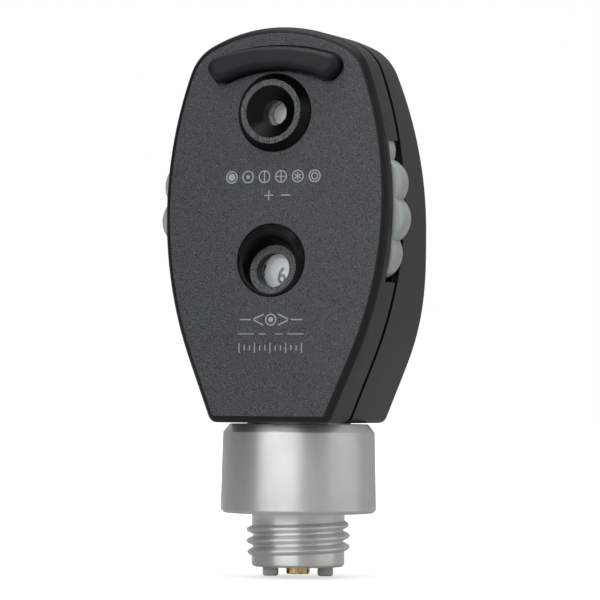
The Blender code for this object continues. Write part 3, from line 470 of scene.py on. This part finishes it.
def housingBlank():
    # the outline lies in X and Y here and is stood up later; half is traced and mirrored
    h = housing
    side = Vector((h["halfWidth"] - h["sideRadius"], h["widest"], 0))
    top = Vector((0, h["top"] - h["topRadius"], 0))
    reach, drop = h["sideRadius"] - h["topCorner"], h["topRadius"] - h["topCorner"]
    apart = (top - side).length
    spread = (apart ** 2 + reach ** 2 - drop ** 2) / (2 * apart * reach)
    upper = atan2(top.y - side.y, top.x - side.x) + atan2(sqrt(1 - spread ** 2), spread)
    corner = side + Vector((cos(upper), sin(upper), 0)) * reach
    crown = atan2(corner.y - top.y, corner.x - top.x)
    slope = asin((h["widest"] - h["shoulder"]) / h["sideRadius"])
    r = h["bottomCorner"]
    footY = h["bottom"] + r
    join = side + Vector((cos(slope), -sin(slope), 0)) * h["sideRadius"]
    footX = join.x + ((footY - join.y) * sin(slope) - r) / cos(slope)
    foot = Vector((footX, footY, 0))
    bm = bmesh.new()
    trace(bm, (0, h["bottom"], 0),
          [(footX, h["bottom"], 0), (foot, pi / 2 - slope, 8), tuple(join),
           (side, slope + upper, 30), (corner, crown - upper, 16), (top, pi / 2 - crown, 14)])
    bmesh.ops.mirror(bm, geom=bm.verts[:] + bm.edges[:], matrix=Matrix.Identity(4),
                     merge_dist=0.001, axis="X")
    return bm


def coverShell(name, depthAt, seam, sign, slices, dome):
    # a flat lid with a rounded rim, cut into strips that are then pushed back to the face's depth
    flat = housing["flat"]
    bm = housingBlank()
    fillAndExtrude(bm, -seam, sign * flat - seam)
    roundOff(bm, rimEdges(bm, sign * flat - seam), housing["rim"], 8)
    moved(bm, toExaminer)
    seamFaces = [f for f in bm.faces if all(abs(v.co.y - seam) < 1e-3 for v in f.verts)]
    bmesh.ops.delete(bm, geom=seamFaces, context="FACES_ONLY")
    cuts = []
    if slices:
        low, apart = housing["sliceFrom"], housing["sliceStep"]
        cuts += [((0, 0, low + apart * step), (0, 0, 1)) for step in range(34)]
    if dome:
        cuts += [((housing["halfWidth"] * step / 8, 0, 0), (1, 0, 0)) for step in range(-7, 8)]
    for point, normal in cuts:
        bmesh.ops.bisect_plane(bm, geom=bm.verts[:] + bm.edges[:] + bm.faces[:], dist=0.0005,
                               plane_co=point, plane_no=normal)
    bmesh.ops.recalc_face_normals(bm, faces=bm.faces)
    # faces square to the depth axis get the copy with painted sheen, the rounding gets the copy with painted
    # shade, the sides get the copy with painted warm shade
    for face in bm.faces:
        across = abs(face.normal.y)
        face.material_index = 0 if across > 0.985 else 1 if across > 0.12 else 2
    for vert in bm.verts:
        if abs(vert.co.y - seam) > 1.0:
            bowed = dome * (vert.co.x / housing["halfWidth"]) ** 2
            vert.co.y += depthAt(vert.co.z) + bowed - (seam - sign * flat)
    bmesh.ops.triangulate(bm, faces=[f for f in bm.faces if len(f.verts) > 4])
    piece = toObject(bm, name, finishes["housing_plastic"])
    piece.data.materials.append(finishes["rim_painted_shade"])
    piece.data.materials.append(finishes["side_painted_shade"])
    thick = piece.modifiers.new("wall", "SOLIDIFY")
    thick.thickness = housing["wall"] * mm
    thick.offset = -1
    thick.use_even_offset = True
    bake(piece)
    # the faces at the joint get the rim's near-black copy: painted shadow in the gap between the covers
    for face in piece.data.polygons:
        if abs(face.center.y / mm - seam) < 0.05:
            face.material_index = 1
    return piece


print("tools ready")


def frontCover():
    h, gap = housing, 0.3
    cover = coverShell("frontCover", faceY, h["seam"], 1, False, h["dome"])
    for x, z in screws["places"]:
        boss = column(1.7, -h["seam"], -faceY(z) - h["wall"] / 2, 32)
        place = Matrix.Translation((x, 0, z)) @ toExaminer
        combine(cover, [toObject(moved(boss, place), "boss", None)], "UNION")
    cuts = []
    room = column(wheel["tip"] + gap, -h["seam"] - 1, -wheel["front"] + gap, 160)
    cuts.append(moved(room, Matrix.Translation(wheel["centre"]) @ toExaminer))
    low, high = wheel["centre"].z - wheel["slot"], wheel["centre"].z + wheel["slot"]
    cuts.append(slab((-20, wheel["front"] - gap, low), (20, h["seam"] + 1, high)))
    sight = wheel["centre"].z + wheel["lensRing"]
    cuts.append(moved(column(eyepiece["base"] + 0.12, -1.0, 4, 96), onFace(sight)))
    cuts.append(moved(column(eyepiece["neck"] + 0.2, -4, 1, 64), onFace(sight)))
    cuts.append(moved(column(hood["outer"] + 0.12, -0.9, 4, 96), onFace(h["faceAt"])))
    cuts.append(moved(column(hood["neck"] + 0.2, -4, 1, 64), onFace(h["faceAt"])))
    cuts.append(moved(barBlank(0.3, -browBar["groove"], 3.0), onFace(h["widest"])))
    cuts.append(column(7.3, h["bottom"] - 1, h["bottom"] + 3))
    combine(cover, [toObject(bm, "cut", None) for bm in cuts])
    return finishPiece(cover, "head", "housing_plastic", "front_cover")


def rearCover():
    h = housing
    cover = coverShell("rearCover", rearY, h["seam"] + h["seamGap"], -1, True, 0.0)
    for x, z in screws["places"]:
        boss = column(2.0, -rearY(z) + 0.9, 1.6, 32)
        place = Matrix.Translation((x, 0, z)) @ toExaminer
        combine(cover, [toObject(moved(boss, place), "boss", None)], "UNION")
    cuts = []
    for x, z in screws["places"]:
        seat = screwSeat(z)
        wide = column(screws["head"] + 0.15, -rearY(z) - 3, seat, 48)
        cuts.append(moved(wide, Matrix.Translation((x, 0, z)) @ toExaminer))
        cuts.append(moved(column(1.1, seat - 0.5, 5, 32), Matrix.Translation((x, 0, z)) @ toExaminer))
    low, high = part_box("aperture_disc")
    half = sqrt(6.5 ** 2 - 4.0 ** 2) + 0.6
    cuts.append(slab((-half, h["rearLow"] - 3, low.z / mm - 0.3),
                     (half, h["rearLow"] + 2, high.z / mm + 0.3)))
    cuts.append(moved(stadium(0.12, -0.2, 4), windowPlace()))
    cuts.append(moved(stadium(-0.7, -3, 3), windowPlace()))
    cuts.append(column(7.3, h["bottom"] - 1, h["bottom"] + 3))
    combine(cover, [toObject(bm, "cut", None) for bm in cuts])
    return finishPiece(cover, "head", "housing_plastic", "rear_cover")


lip = {"inset": 0.5, "wide": 0.6, "clear": 0.02}


def jointLip():
    # narrow tongue inside the joint line, so that no light passes between the covers
    h = housing
    bm = housingBlank()
    bmesh.ops.remove_doubles(bm, verts=bm.verts, dist=0.0005)
    face = bmesh.ops.contextual_create(bm, geom=bm.edges[:])["faces"]
    outside = bmesh.ops.inset_region(bm, faces=face, thickness=lip["inset"], use_boundary=True,
                                     use_even_offset=True)["faces"]
    bmesh.ops.delete(bm, geom=outside, context="FACES")
    ring = bmesh.ops.inset_region(bm, faces=bm.faces[:], thickness=lip["wide"], use_boundary=True,
                                  use_even_offset=True)["faces"]
    bmesh.ops.delete(bm, geom=[f for f in bm.faces if f not in ring], context="FACES")
    bmesh.ops.translate(bm, vec=(0, 0, -h["seam"] - h["seamGap"] + lip["clear"]), verts=bm.verts)
    pulled = bmesh.ops.extrude_face_region(bm, geom=bm.faces[:], use_keep_orig=True)["geom"]
    top = [v for v in pulled if isinstance(v, bmesh.types.BMVert)]
    bmesh.ops.translate(bm, vec=(0, 0, h["seamGap"] - 2 * lip["clear"]), verts=top)
    # the lip wears the rim's near-black copy, the one with painted shade
    piece = toObject(moved(bm, toExaminer), "jointLip", finishes["rim_painted_shade"])
    return finishPiece(piece, "head", "housing_plastic")


# pieces on the face

browBar = {
    "radius": 19.7, "topRadius": 28.0, "thick": 3.05, "reach": 9.4, "slant": 0.4, "corner": 1.46,
    "proud": 2.0, "groove": 1.0, "round": 1.05,
}


def barBlank(grow, low, high):
    # left half traced from the top middle: upper edge, two rounded corners, lower edge; then mirrored
    b = browBar
    round1 = b["corner"] + grow
    under = b["radius"] - b["thick"] / 2 - grow
    over = b["topRadius"] + grow
    overAt = Vector((0, b["radius"] + b["thick"] / 2 - b["topRadius"], 0))
    outTurn = asin((b["reach"] - b["corner"]) / (over - round1))
    inTurn = asin((b["reach"] - b["corner"] - b["slant"]) / (under + round1))
    first = overAt + Vector((-sin(outTurn), cos(outTurn), 0)) * (over - round1)
    second = Vector((-sin(inTurn), cos(inTurn), 0)) * (under + round1)
    facing = atan2(second.y - first.y, second.x - first.x) - pi / 2 + 2 * pi
    turn1 = facing - pi / 2 - outTurn
    turn2 = 3 * pi / 2 + inTurn - facing
    onward = second + Vector((cos(facing), sin(facing), 0)) * round1
    bm = bmesh.new()
    trace(bm, overAt + Vector((0, over, 0)),
          [(overAt, outTurn, 24), (first, turn1, 12), tuple(onward), (second, turn2, 12),
           (Vector((0, 0, 0)), -inTurn, 24)])
    bmesh.ops.mirror(bm, geom=bm.verts[:] + bm.edges[:], matrix=Matrix.Identity(4),
                     merge_dist=0.001, axis="X")
    fillAndExtrude(bm, low, high)
    return bm


def browRest():
    b = browBar
    bm = barBlank(0.0, 0.3 - b["groove"], b["proud"])
    roundOff(bm, rimEdges(bm, b["proud"]), b["round"], 8)
    piece = toObject(moved(bm, onFace(housing["widest"])), "browRest", finishes["black_rubber"], 40)
    return finishPiece(piece, "head", "black_rubber", "brow_rest")


printed = {
    "proud": 0.03, "sunk": 0.1, "line": 0.16, "middle": 0.25, "ring": 0.85, "apertures": 44.9, "signs": 42.4,
    "eye": 25.85, "underline": 23.95, "ticks": 22.1,
}


def facePrint():
    # plain pictograms in place of any wording: aperture sizes above, an eye and a scale of ticks below
    parts = []

    def put(shape, x, z):
        back = housing["dome"] * (x / housing["halfWidth"]) ** 2
        slope = Matrix.Rotation(2 * housing["dome"] * x / housing["halfWidth"] ** 2, 4, "Y")
        parts.append(moved(shape, onFace(z) @ Matrix.Translation((x, 0, -back)) @ slope))

    def ring(x, z, radius, wide=printed["line"]):
        low, high = -printed["sunk"], printed["proud"]
        profile = [(radius, low), (radius, high), (radius - wide, high), (radius - wide, low)]
        put(lathe(profile, 40, True), x, z)

    def dot(x, z, radius):
        put(column(radius, -printed["sunk"], printed["proud"], 32), x, z)

    def bar(x, z, wide, high, turn=0.0):
        shape = slab((-wide / 2, -high / 2, -printed["sunk"]), (wide / 2, high / 2, printed["proud"]))
        put(moved(shape, Matrix.Rotation(turn, 4, "Z")), x, z)

    line, middle = printed["line"], printed["middle"]
    row = printed["apertures"]
    for x in (-6.0, -3.6, -1.2, 1.2, 3.6, 6.0):
        ring(x, row, printed["ring"])
    dot(-6.0, row, 0.5)
    dot(-3.6, row, 0.25)
    bar(-1.2, row, line, 1.5)
    bar(1.2, row, line, 1.5)
    bar(1.2, row, 1.5, line)
    for step in range(3):
        bar(3.6, row, line, 1.1, pi / 3 * step)
    ring(6.0, row, 0.5)
    bar(-0.5, printed["signs"], 1.3, line)
    bar(-0.5, printed["signs"], line, 1.3)
    bar(1.9, printed["signs"], 1.3, line)
    eye, tilt = printed["eye"], radians(24)
    ring(middle, eye, 0.8)
    dot(middle, eye, 0.35)
    for side in (-1, 1):
        bar(middle + side * 1.75, eye + 0.4, 1.6, line, -side * tilt)
        bar(middle + side * 1.75, eye - 0.4, 1.6, line, side * tilt)
        bar(middle + side * 3.7, eye, 1.6, line)
        bar(middle + side * 3.6, printed["underline"], 2.4, line * 0.7)
        bar(middle + side * 1.2, printed["underline"], 1.0, line * 0.7)
    for step in range(-6, 7):
        tall = 1.3 if step % 3 == 0 else 0.7
        bar(middle + step * 0.75, printed["ticks"], line * 0.8, tall)
    piece = toObject(gather(parts), "facePrint", finishes["print_ink"])
    return finishPiece(piece, "head", "housing_plastic")


eyepiece = {
    "base": 5.16, "neck": 2.7, "ring": 4.25, "ringInner": 3.5, "height": 1.35, "hole": 1.68, "sunk": 0.15,
}


def sightEyepiece():
    e = eyepiece
    back = -1.8
    profile = [(e["hole"], back), (e["neck"], back), (e["neck"], -0.6), (e["base"], -0.6), (e["base"], 0.0),
               (e["ring"] + 0.06, e["height"] - 0.03), (e["ring"], e["height"]),
               (e["ringInner"], e["height"]), (e["ringInner"] - 0.05, e["height"] - 0.06),
               (e["hole"], -e["sunk"])]
    bm = lathe(profile, 128, True)
    for face in bm.faces:
        middle = face.calc_center_median()
        if middle.z > e["height"] - 0.02 and middle.xy.length > e["ringInner"]:
            face.material_index = 1
    piece = toObject(moved(bm, onFace(wheel["centre"].z + wheel["lensRing"])), "sightEyepiece",
                     finishes["black_plastic"], 25)
    piece.data.materials.append(finishes["ring_plastic"])
    return finishPiece(piece, "head", "black_plastic", "sight_eyepiece")


hood = {
    "outer": 4.8, "neck": 3.9, "crest": 4.25, "inside": 3.95, "floor": 3.3, "window": 2.35, "rise": 1.0,
    "windowDrop": -1.25, "paneLow": -3.0, "paneHigh": -2.6,
}


def dioptreHood():
    # one ring is pulled into the next; a ring may shift up the face and lean outwards at its top
    def ringPlace(radius, lift, bottom, top):
        return Matrix(((radius, 0, 0, 0), (0, radius, 0, lift),
                       (0, (top - bottom) / 2, 1, (top + bottom) / 2), (0, 0, 0, 1)))

    h = hood
    back = -2.4
    tube = -3.6
    rows = [(h["window"], -1.25, tube, tube), (h["window"] + 0.3, -1.25, tube, tube),
            (h["window"] + 0.3, -1.25, back, back), (h["neck"], 0, back, back), (h["neck"], 0, -0.6, -0.6),
            (h["outer"], 0, -0.6, -0.6), (h["outer"], 0, 0.0, 0.0),
            (h["crest"] + 0.1, -0.31, 0.03, h["rise"] - 0.06), (h["crest"], -0.35, 0.05, h["rise"]),
            (h["inside"], -0.55, 0.05, h["rise"] - 0.15), (h["inside"] - 0.12, -0.62, 0.03, h["rise"] - 0.35),
            (h["floor"], -1.15, -0.05, -1.6), (h["window"], -1.25, -0.3, -1.35),
            (h["window"], -1.25, tube, tube)]
    bm = bmesh.new()
    verts = bmesh.ops.create_circle(bm, cap_ends=False, segments=128, radius=1)["verts"]
    last = ringPlace(*rows[0])
    bmesh.ops.transform(bm, matrix=last, verts=verts)
    edges = bm.edges[:]
    for row in rows[1:]:
        pulled = bmesh.ops.extrude_edge_only(bm, edges=edges)["geom"]
        verts = [v for v in pulled if isinstance(v, bmesh.types.BMVert)]
        edges = [e for e in pulled if isinstance(e, bmesh.types.BMEdge) and all(v in verts for v in e.verts)]
        bmesh.ops.transform(bm, matrix=ringPlace(*row) @ last.inverted(), verts=verts)
        last = ringPlace(*row)
    bmesh.ops.remove_doubles(bm, verts=bm.verts, dist=0.0005)
    bmesh.ops.recalc_face_normals(bm, faces=bm.faces)
    for face in bm.faces:
        middle = face.calc_center_median()
        flat = (middle.xy - Vector((0, -1.2))).length
        if h["window"] + 0.1 < flat < h["floor"] - 0.1 and middle.z > back + 0.3:
            face.material_index = 1
    piece = toObject(moved(bm, onFace(housing["faceAt"])), "dioptreHood", finishes["black_plastic"], 25)
    piece.data.materials.append(finishes["ring_plastic"])
    finishPiece(piece, "head", "black_plastic", "dioptre_hood")
    bm = column(h["window"] - 0.06, h["paneLow"], h["paneHigh"], 96)
    roundOff(bm, rimEdges(bm, h["paneHigh"]), 0.08, 2)
    moved(bm, onFace(housing["faceAt"]) @ Matrix.Translation((0, h["windowDrop"], 0)))
    pane = toObject(bm, "dioptrePane", finishes["clear_glass"])
    return finishPiece(pane, "head", "clear_glass", "dioptre_window")


# lens wheel

def wheelGrip():
    w = wheel
    bm = lobedOutline(w["tip"], w["valley"], w["lobes"], 14)
    fillAndExtrude(bm, -w["back"], -w["front"])
    roundOff(bm, rimEdges(bm, -w["front"]), w["round"], 6, True)
    roundOff(bm, rimEdges(bm, -w["back"]), w["round"] / 2, 4, True)
    place = Matrix.Translation(w["centre"]) @ toExaminer
    piece = toObject(moved(bm, place), "wheelGrip", finishes["grip_plastic"], 40)
    bore = toObject(moved(column(w["inner"], 3, 8, 128), place), "cut", None)
    seat = toObject(moved(column(w["seat"], 4.3, 8, 128), place), "cut", None)
    combine(piece, [bore, seat], flat=40)
    return finishPiece(piece, "lens_wheel", "grip_plastic", "wheel_grip")


def wheelNumbers():
    # each number stands opposite its lens, upright when it is at the read-out
    powers = [1, 2, 3, 4, 6, 8, 10, 15, 20]
    scale = powers + [-p for p in reversed(powers)] + [0]
    rest = scale.index(6)
    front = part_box("lens_disc")[0].y / mm
    meshes = []
    for index, power in enumerate(scale):
        words = bpy.data.curves.new("number", "FONT")
        words.body = str(abs(power))
        words.size = wheel["numberSize"]
        words.align_x = "CENTER"
        words.align_y = "CENTER"
        words.extrude = 0.01
        words.offset = 0.05
        words.resolution_u = 6
        helper = bpy.data.objects.new("number", words)
        scene.collection.objects.link(helper)
        bpy.context.view_layer.update()
        mesh = bpy.data.meshes.new_from_object(helper.evaluated_get(bpy.context.evaluated_depsgraph_get()))
        bpy.data.objects.remove(helper)
        slim = Matrix.Diagonal((0.72 if abs(power) > 9 else 0.86, 1, 1, 1))
        turn = Matrix.Rotation(2 * pi * (index - rest) / wheel["lobes"], 4, "Z")
        down = Matrix.Translation((0, -wheel["numberRing"], 0))
        mesh.transform(Matrix.Translation(wheel["centre"]) @ toExaminer
                       @ Matrix.Translation((0, 0, 6.2 + 0.03)) @ turn @ down @ slim)
        meshes.append(mesh)
    bm = bmesh.new()
    for mesh in meshes:
        bm.from_mesh(mesh)
    piece = toObject(bm, "wheelNumbers", finishes["number_ink"])
    return finishPiece(piece, "lens_wheel", "white_plastic")


# screws, window

screws = {"places": ((7.2, 18.0), (-7.2, 18.0), (0.0, 61.5)), "head": 1.5, "deep": 1.0}


def screwSeat(z):
    return -rearY(z + screws["head"] + 0.3) + screws["deep"] + 0.4


def housingScrews():
    names = ("right", "left", "top")
    for name, (x, z) in zip(names, screws["places"]):
        head = screwSeat(z) - 0.3
        tip = -faceY(z) - 1.8
        profile = [(0, head - screws["deep"]), (screws["head"], head - screws["deep"]),
                   (screws["head"], head), (0.8, head), (0.8, tip - 0.4), (0.4, tip), (0, tip)]
        bm = lathe(profile, 40, False, 0.12, 3)
        piece = toObject(moved(bm, Matrix.Translation((x, 0, z)) @ toExaminer), "housingScrew_" + name,
                         finishes["bright_steel"])
        socket = bmesh.new()
        bmesh.ops.create_cone(socket, cap_ends=True, segments=6, radius1=0.75, radius2=0.75, depth=1.4,
                              matrix=Matrix.Translation((0, 0, head - screws["deep"])))
        moved(socket, Matrix.Translation((x, 0, z)) @ toExaminer)
        combine(piece, [toObject(socket, "cut", None)])
        finishPiece(piece, "head", "bright_steel", "housing_screw_" + name)


pane = {"half": 2.6, "straight": 3.2, "thick": 0.6, "at": 51.6}


def windowPlace():
    lean = atan2(rearY(pane["at"] - 1) - rearY(pane["at"] + 1), 2)
    outside = rearY(pane["at"]) - pane["thick"] - 0.15
    return Matrix.Translation((0, outside, pane["at"])) @ Matrix.Rotation(lean - pi / 2, 4, "X")


def stadium(grow, low, high):
    r = pane["half"] + grow
    half = pane["straight"] / 2
    bm = bmesh.new()
    trace(bm, (r, half, 0), [(Vector((0, half, 0)), pi, 32), (-r, -half, 0), (Vector((0, -half, 0)), pi, 32)])
    bm.verts.ensure_lookup_table()
    ends = [v for v in bm.verts if len(v.link_edges) == 1]
    bm.edges.new(ends)
    fillAndExtrude(bm, low, high)
    return bm


def patientWindow():
    bm = stadium(0.0, 0.0, pane["thick"])
    roundOff(bm, rimEdges(bm, pane["thick"]), 0.12, 3)
    piece = toObject(moved(bm, windowPlace()), "patientWindow", finishes["clear_glass"])
    return finishPiece(piece, "head", "clear_glass", "patient_window")


# aperture wheel

def apertureRim():
    low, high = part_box("aperture_disc")
    centreY = (low.y + high.y) / 2 / mm
    bm = lobedOutline(6.5, 6.2, 24, 6)
    fillAndExtrude(bm, low.z / mm, high.z / mm)
    roundOff(bm, rimEdges(bm, low.z / mm) + rimEdges(bm, high.z / mm), 0.15, 3)
    place = Matrix.Translation((0, centreY, 0))
    piece = toObject(moved(bm, place), "apertureDisc", finishes["black_plastic"], 40)
    cuts = [moved(column(0.88, 10, 30, 32), place)]
    for index, radius in enumerate((1.3, 1.3, 0.5, 1.3, 1.3)):
        a = -pi / 2 + 2 * pi * index / 5
        hole = column(radius, 10, 30, 40)
        if index == 3:
            bmesh.ops.bisect_plane(hole, geom=hole.verts[:] + hole.edges[:] + hole.faces[:],
                                   plane_co=(0, 0, 0), plane_no=(-1, 0, 0), clear_outer=True)
            bmesh.ops.holes_fill(hole, edges=[e for e in hole.edges if e.is_boundary], sides=0)
            moved(hole, Matrix.Rotation(a, 4, "Z"))
        cuts.append(moved(hole, Matrix.Translation((3.8 * cos(a), centreY + 3.8 * sin(a), 0))))
    combine(piece, [toObject(bm, "cut", None) for bm in cuts], flat=40)
    return finishPiece(piece, "aperture_wheel", "black_plastic", "aperture_disc")


# collar, neck and contact

collarShape = {"radius": 10.5, "top": 10.24, "height": 12.0, "chamfer": 0.45, "shoulder": 10.9, "crown": 9.35}


def collar():
    c = collarShape
    profile = [(9.0, 0), (c["radius"] - c["chamfer"], 0), (c["radius"], c["chamfer"]),
               (c["top"], c["shoulder"]), (c["crown"], c["height"]), (7.3, c["height"]),
               (7.3, c["height"] - 1.5), (9.0, c["height"] - 1.5)]
    piece = toObject(lathe(profile, 160, True, 0.07, 3), "collar", finishes["satin_metal"], 25)
    return finishPiece(piece, "head", "satin_metal", "collar")


neck = {
    "radius": 6.27, "bore": 5.3, "end": -7.2, "flange": 8.7, "flangeThick": 1.6, "root": 6.12, "pitch": 1.5,
    "bottom": -5.65, "turns": 3, "start": radians(113), "steps": 84, "fade": 0.3,
    "ridge": ((5.9, -0.7), (6.4, -0.52), (6.82, -0.3), (6.98, -0.1), (6.98, 0.1), (6.82, 0.3), (6.4, 0.52),
              (5.9, 0.7)),
}


def threadedNeck():
    n = neck
    top = n["bottom"] + n["turns"] * n["pitch"]
    profile = [(n["bore"], n["flangeThick"]), (n["flange"], n["flangeThick"]), (n["flange"], 0),
               (n["radius"], 0), (n["radius"], top - 0.55), (n["root"], top - 0.8),
               (n["root"], n["bottom"] + 0.6), (n["radius"], n["bottom"] + 0.4),
               (n["radius"], n["end"] + 0.3), (n["radius"] - 0.3, n["end"]), (n["bore"], n["end"])]
    piece = toObject(lathe(profile, 128, True, 0.05, 2), "threadedNeck", finishes["thread_metal"], 25)
    ridge = bmesh.new()
    ridge.faces.new([ridge.verts.new((r, 0, h + n["bottom"])) for r, h in n["ridge"]])
    steps = n["turns"] * n["steps"]
    bmesh.ops.spin(ridge, geom=ridge.verts[:] + ridge.edges[:] + ridge.faces[:], cent=(0, 0, 0),
                   axis=(0, 0, 1), dvec=(0, 0, n["pitch"] / n["steps"]), angle=2 * pi * n["turns"],
                   steps=steps, use_merge=False)
    # the ridge sinks into the core at both ends, as a thread runs out
    inside = n["ridge"][0][0]
    for index, vert in enumerate(ridge.verts):
        along = index // len(n["ridge"])
        left = min(along, steps - along) / (n["steps"] * n["fade"])
        if left < 1:
            radius = vert.co.xy.length
            keep = (inside + (radius - inside) * left) / radius
            vert.co.x *= keep
            vert.co.y *= keep
    moved(ridge, Matrix.Rotation(n["start"], 4, "Z"))
    combine(piece, [toObject(ridge, "thread", None)], "UNION", flat=25)
    return finishPiece(piece, "head", "satin_metal", "threaded_neck")


contact = {"radius": 1.6, "end": -8.2, "flutes": 10}


def centreContact():
    c = contact
    low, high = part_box("centre_contact")
    flange = high.z / mm - 0.9
    profile = [(0, c["end"]), (0.75, c["end"]), (0.85, c["end"] + 0.25), (1.15, c["end"] + 0.25),
               (1.25, c["end"]), (c["radius"] - 0.12, c["end"]), (c["radius"], c["end"] + 0.12),
               (c["radius"], flange), (2.2, flange),
               (2.2, flange + 0.5), (1.2, flange + 0.5), (1.2, high.z / mm), (0, high.z / mm)]
    piece = toObject(lathe(profile, 84, False), "centreContact", finishes["gold"], 25)
    cuts = []
    for index in range(c["flutes"]):
        a = 2 * pi * index / c["flutes"]
        groove = column(0.2, c["end"] - 0.5, c["end"] + 1.2, 12)
        cuts.append(moved(groove, Matrix.Translation((c["radius"] * cos(a), c["radius"] * sin(a), 0))))
    combine(piece, [toObject(gather(cuts), "cut", None)], flat=25)
    return finishPiece(piece, "contact", "gold", "centre_contact")


post = {
    "halfWide": 1.05, "halfDeep": 0.85, "end": -8.5, "corner": 0.35, "tip": 0.34, "out": 3.7,
    "turn": radians(23),
}


def contactInsulator():
    body, bottom, top, room, ledge, bore = 5.0, -6.7, -0.6, 2.6, -4.9, 1.68
    profile = [(bore, bottom), (body, bottom), (body, top), (room, top), (room, ledge), (bore, ledge)]
    piece = toObject(lathe(profile, 96, True, 0.08, 2), "contactInsulator", finishes["post_plastic"])
    posts = []
    for sign in (-1, 1):
        bm = slab((-post["halfWide"], -post["halfDeep"], post["end"]),
                  (post["halfWide"], post["halfDeep"], bottom + 0.5))
        upright = [e for e in bm.edges if abs(e.verts[0].co.z - e.verts[1].co.z) > 1]
        roundOff(bm, upright, post["corner"], 4)
        roundOff(bm, rimEdges(bm, post["end"]), post["tip"], 5)
        turn, out = post["turn"], sign * post["out"]
        place = Matrix.Translation((out * cos(turn), out * sin(turn), 0)) @ Matrix.Rotation(turn, 4, "Z")
        posts.append(toObject(moved(bm, place), "post", None))
    combine(piece, posts, "UNION")
    return finishPiece(piece, "head", "post_plastic", "contact_insulator")


# stage, light and camera

def stage():
    bm = bmesh.new()
    bmesh.ops.create_grid(bm, x_segments=1, y_segments=1, size=3.0)
    bmesh.ops.translate(bm, vec=(0, 0, cadBox[0][2] - 0.0002), verts=bm.verts)
    mesh = bpy.data.meshes.new("floor")
    bm.to_mesh(mesh)
    bm.free()
    floor = bpy.data.objects.new("floor", mesh)
    scene.collection.objects.link(floor)
    made, tree, shader = blankMaterial("whiteBoard")
    # pale board; seen by the eye it is lifted so that it meets the white wall without a line
    setShader(shader, Base_Color=(0.5, 0.5, 0.5, 1), Roughness=0.9)
    ray = add(tree, "ShaderNodeLightPath", {})
    place = add(tree, "ShaderNodeTexCoord", {})
    away = add(tree, "ShaderNodeVectorMath", {"operation": "LENGTH"}, i0=place.outputs["Object"])
    lift = add(tree, "ShaderNodeMapRange", {}, Value=away.outputs["Value"], From_Min=0.03, From_Max=0.3,
               To_Min=0.62, To_Max=1.0)
    eye = add(tree, "ShaderNodeMath", {"operation": "MULTIPLY"}, i0=lift.outputs[0],
              i1=ray.outputs["Is Camera Ray"])
    tree.links.new(eye.outputs[0], shader.inputs["Emission Strength"])
    setShader(shader, Emission_Color=(1, 1, 1, 1))
    mesh.materials.append(made)


def softbox(name, place, target, width, height, watts, colour=(1, 1, 1)):
    light = bpy.data.lights.new(name, "AREA")
    light.shape = "RECTANGLE"
    light.size = width
    light.size_y = height
    light.energy = watts
    light.color = colour
    lamp = bpy.data.objects.new(name, light)
    lamp.location = place
    lamp.rotation_euler = (Vector(target) - Vector(place)).to_track_quat("-Z", "Y").to_euler()
    scene.collection.objects.link(lamp)


def lighting():
    middle = (0, 0, 0.035)
    softbox("keyLeft", (-0.14, -0.99, 0.3), middle, 1.2, 1.0, 6.8, (0.97, 0.985, 1.0))
    softbox("overhead", (0.0, -0.1, 0.9), middle, 0.9, 0.9, 6.0)
    softbox("rightFill", (0.95, 0.1, 0.15), middle, 1.0, 0.8, 1.6, (1.0, 0.97, 0.93))
    # the room is mid grey, darker to the left, and white only to the eye
    world = bpy.data.worlds.new("studio")
    scene.world = world
    world.use_nodes = True
    tree = world.node_tree
    tree.nodes.clear()
    place = add(tree, "ShaderNodeTexCoord", {})
    leftward = add(tree, "ShaderNodeVectorMath", {"operation": "DOT_PRODUCT"}, i0=place.outputs["Generated"],
                   i1=(-0.92, -0.39, 0.0))
    ramp = add(tree, "ShaderNodeValToRGB", {}, Fac=leftward.outputs["Value"])
    ramp.color_ramp.elements[0].position = 0.45
    ramp.color_ramp.elements[0].color = (0.45, 0.46, 0.45, 1)
    ramp.color_ramp.elements[1].position = 0.9
    ramp.color_ramp.elements[1].color = (0.1, 0.105, 0.115, 1)
    ray = add(tree, "ShaderNodeLightPath", {})
    seen = add(tree, "ShaderNodeBackground", {}, Color=(1, 1, 1, 1), Strength=1.0)
    room = add(tree, "ShaderNodeBackground", {}, Color=ramp.outputs["Color"], Strength=1.0)
    mixed = add(tree, "ShaderNodeMixShader", {}, i0=ray.outputs["Is Camera Ray"],
                i1=room.outputs[0], i2=seen.outputs[0])
    add(tree, "ShaderNodeOutputWorld", {}, Surface=mixed.outputs[0])
    scene.view_settings.view_transform = "Standard"
    scene.view_settings.look = "None"


view = {"azimuth": radians(23), "distance": 0.47, "height": 0.0152, "aim": 0.02876, "lens": 208.4,
        "roll": radians(0.45)}


def camera():
    away, turned = view["distance"], view["azimuth"]
    place = Vector((away * sin(turned), -away * cos(turned), view["height"]))
    ahead = (Vector((0, 0, view["aim"])) - place).normalized()
    turn = ahead.to_track_quat("-Z", "Y").to_matrix() @ Matrix.Rotation(view["roll"], 3, "Z")
    lens = bpy.data.cameras.new("camera")
    lens.lens = view["lens"]
    lens.sensor_width = 36
    lens.clip_start = 0.01
    lens.clip_end = 20
    shot = bpy.data.objects.new("camera", lens)
    shot.matrix_world = Matrix.Translation(place) @ turn.to_4x4()
    scene.collection.objects.link(shot)
    scene.camera = shot


camera()
stage()
lighting()
print("studio ready")
frontCover()
rearCover()
jointLip()
print("covers done")
browRest()
sightEyepiece()
dioptreHood()
facePrint()
print("face done")
wheelGrip()
wheelNumbers()
print("lens wheel done")
housingScrews()
patientWindow()
apertureRim()
print("rear done")
collar()
threadedNeck()
centreContact()
contactInsulator()
print("neck done")
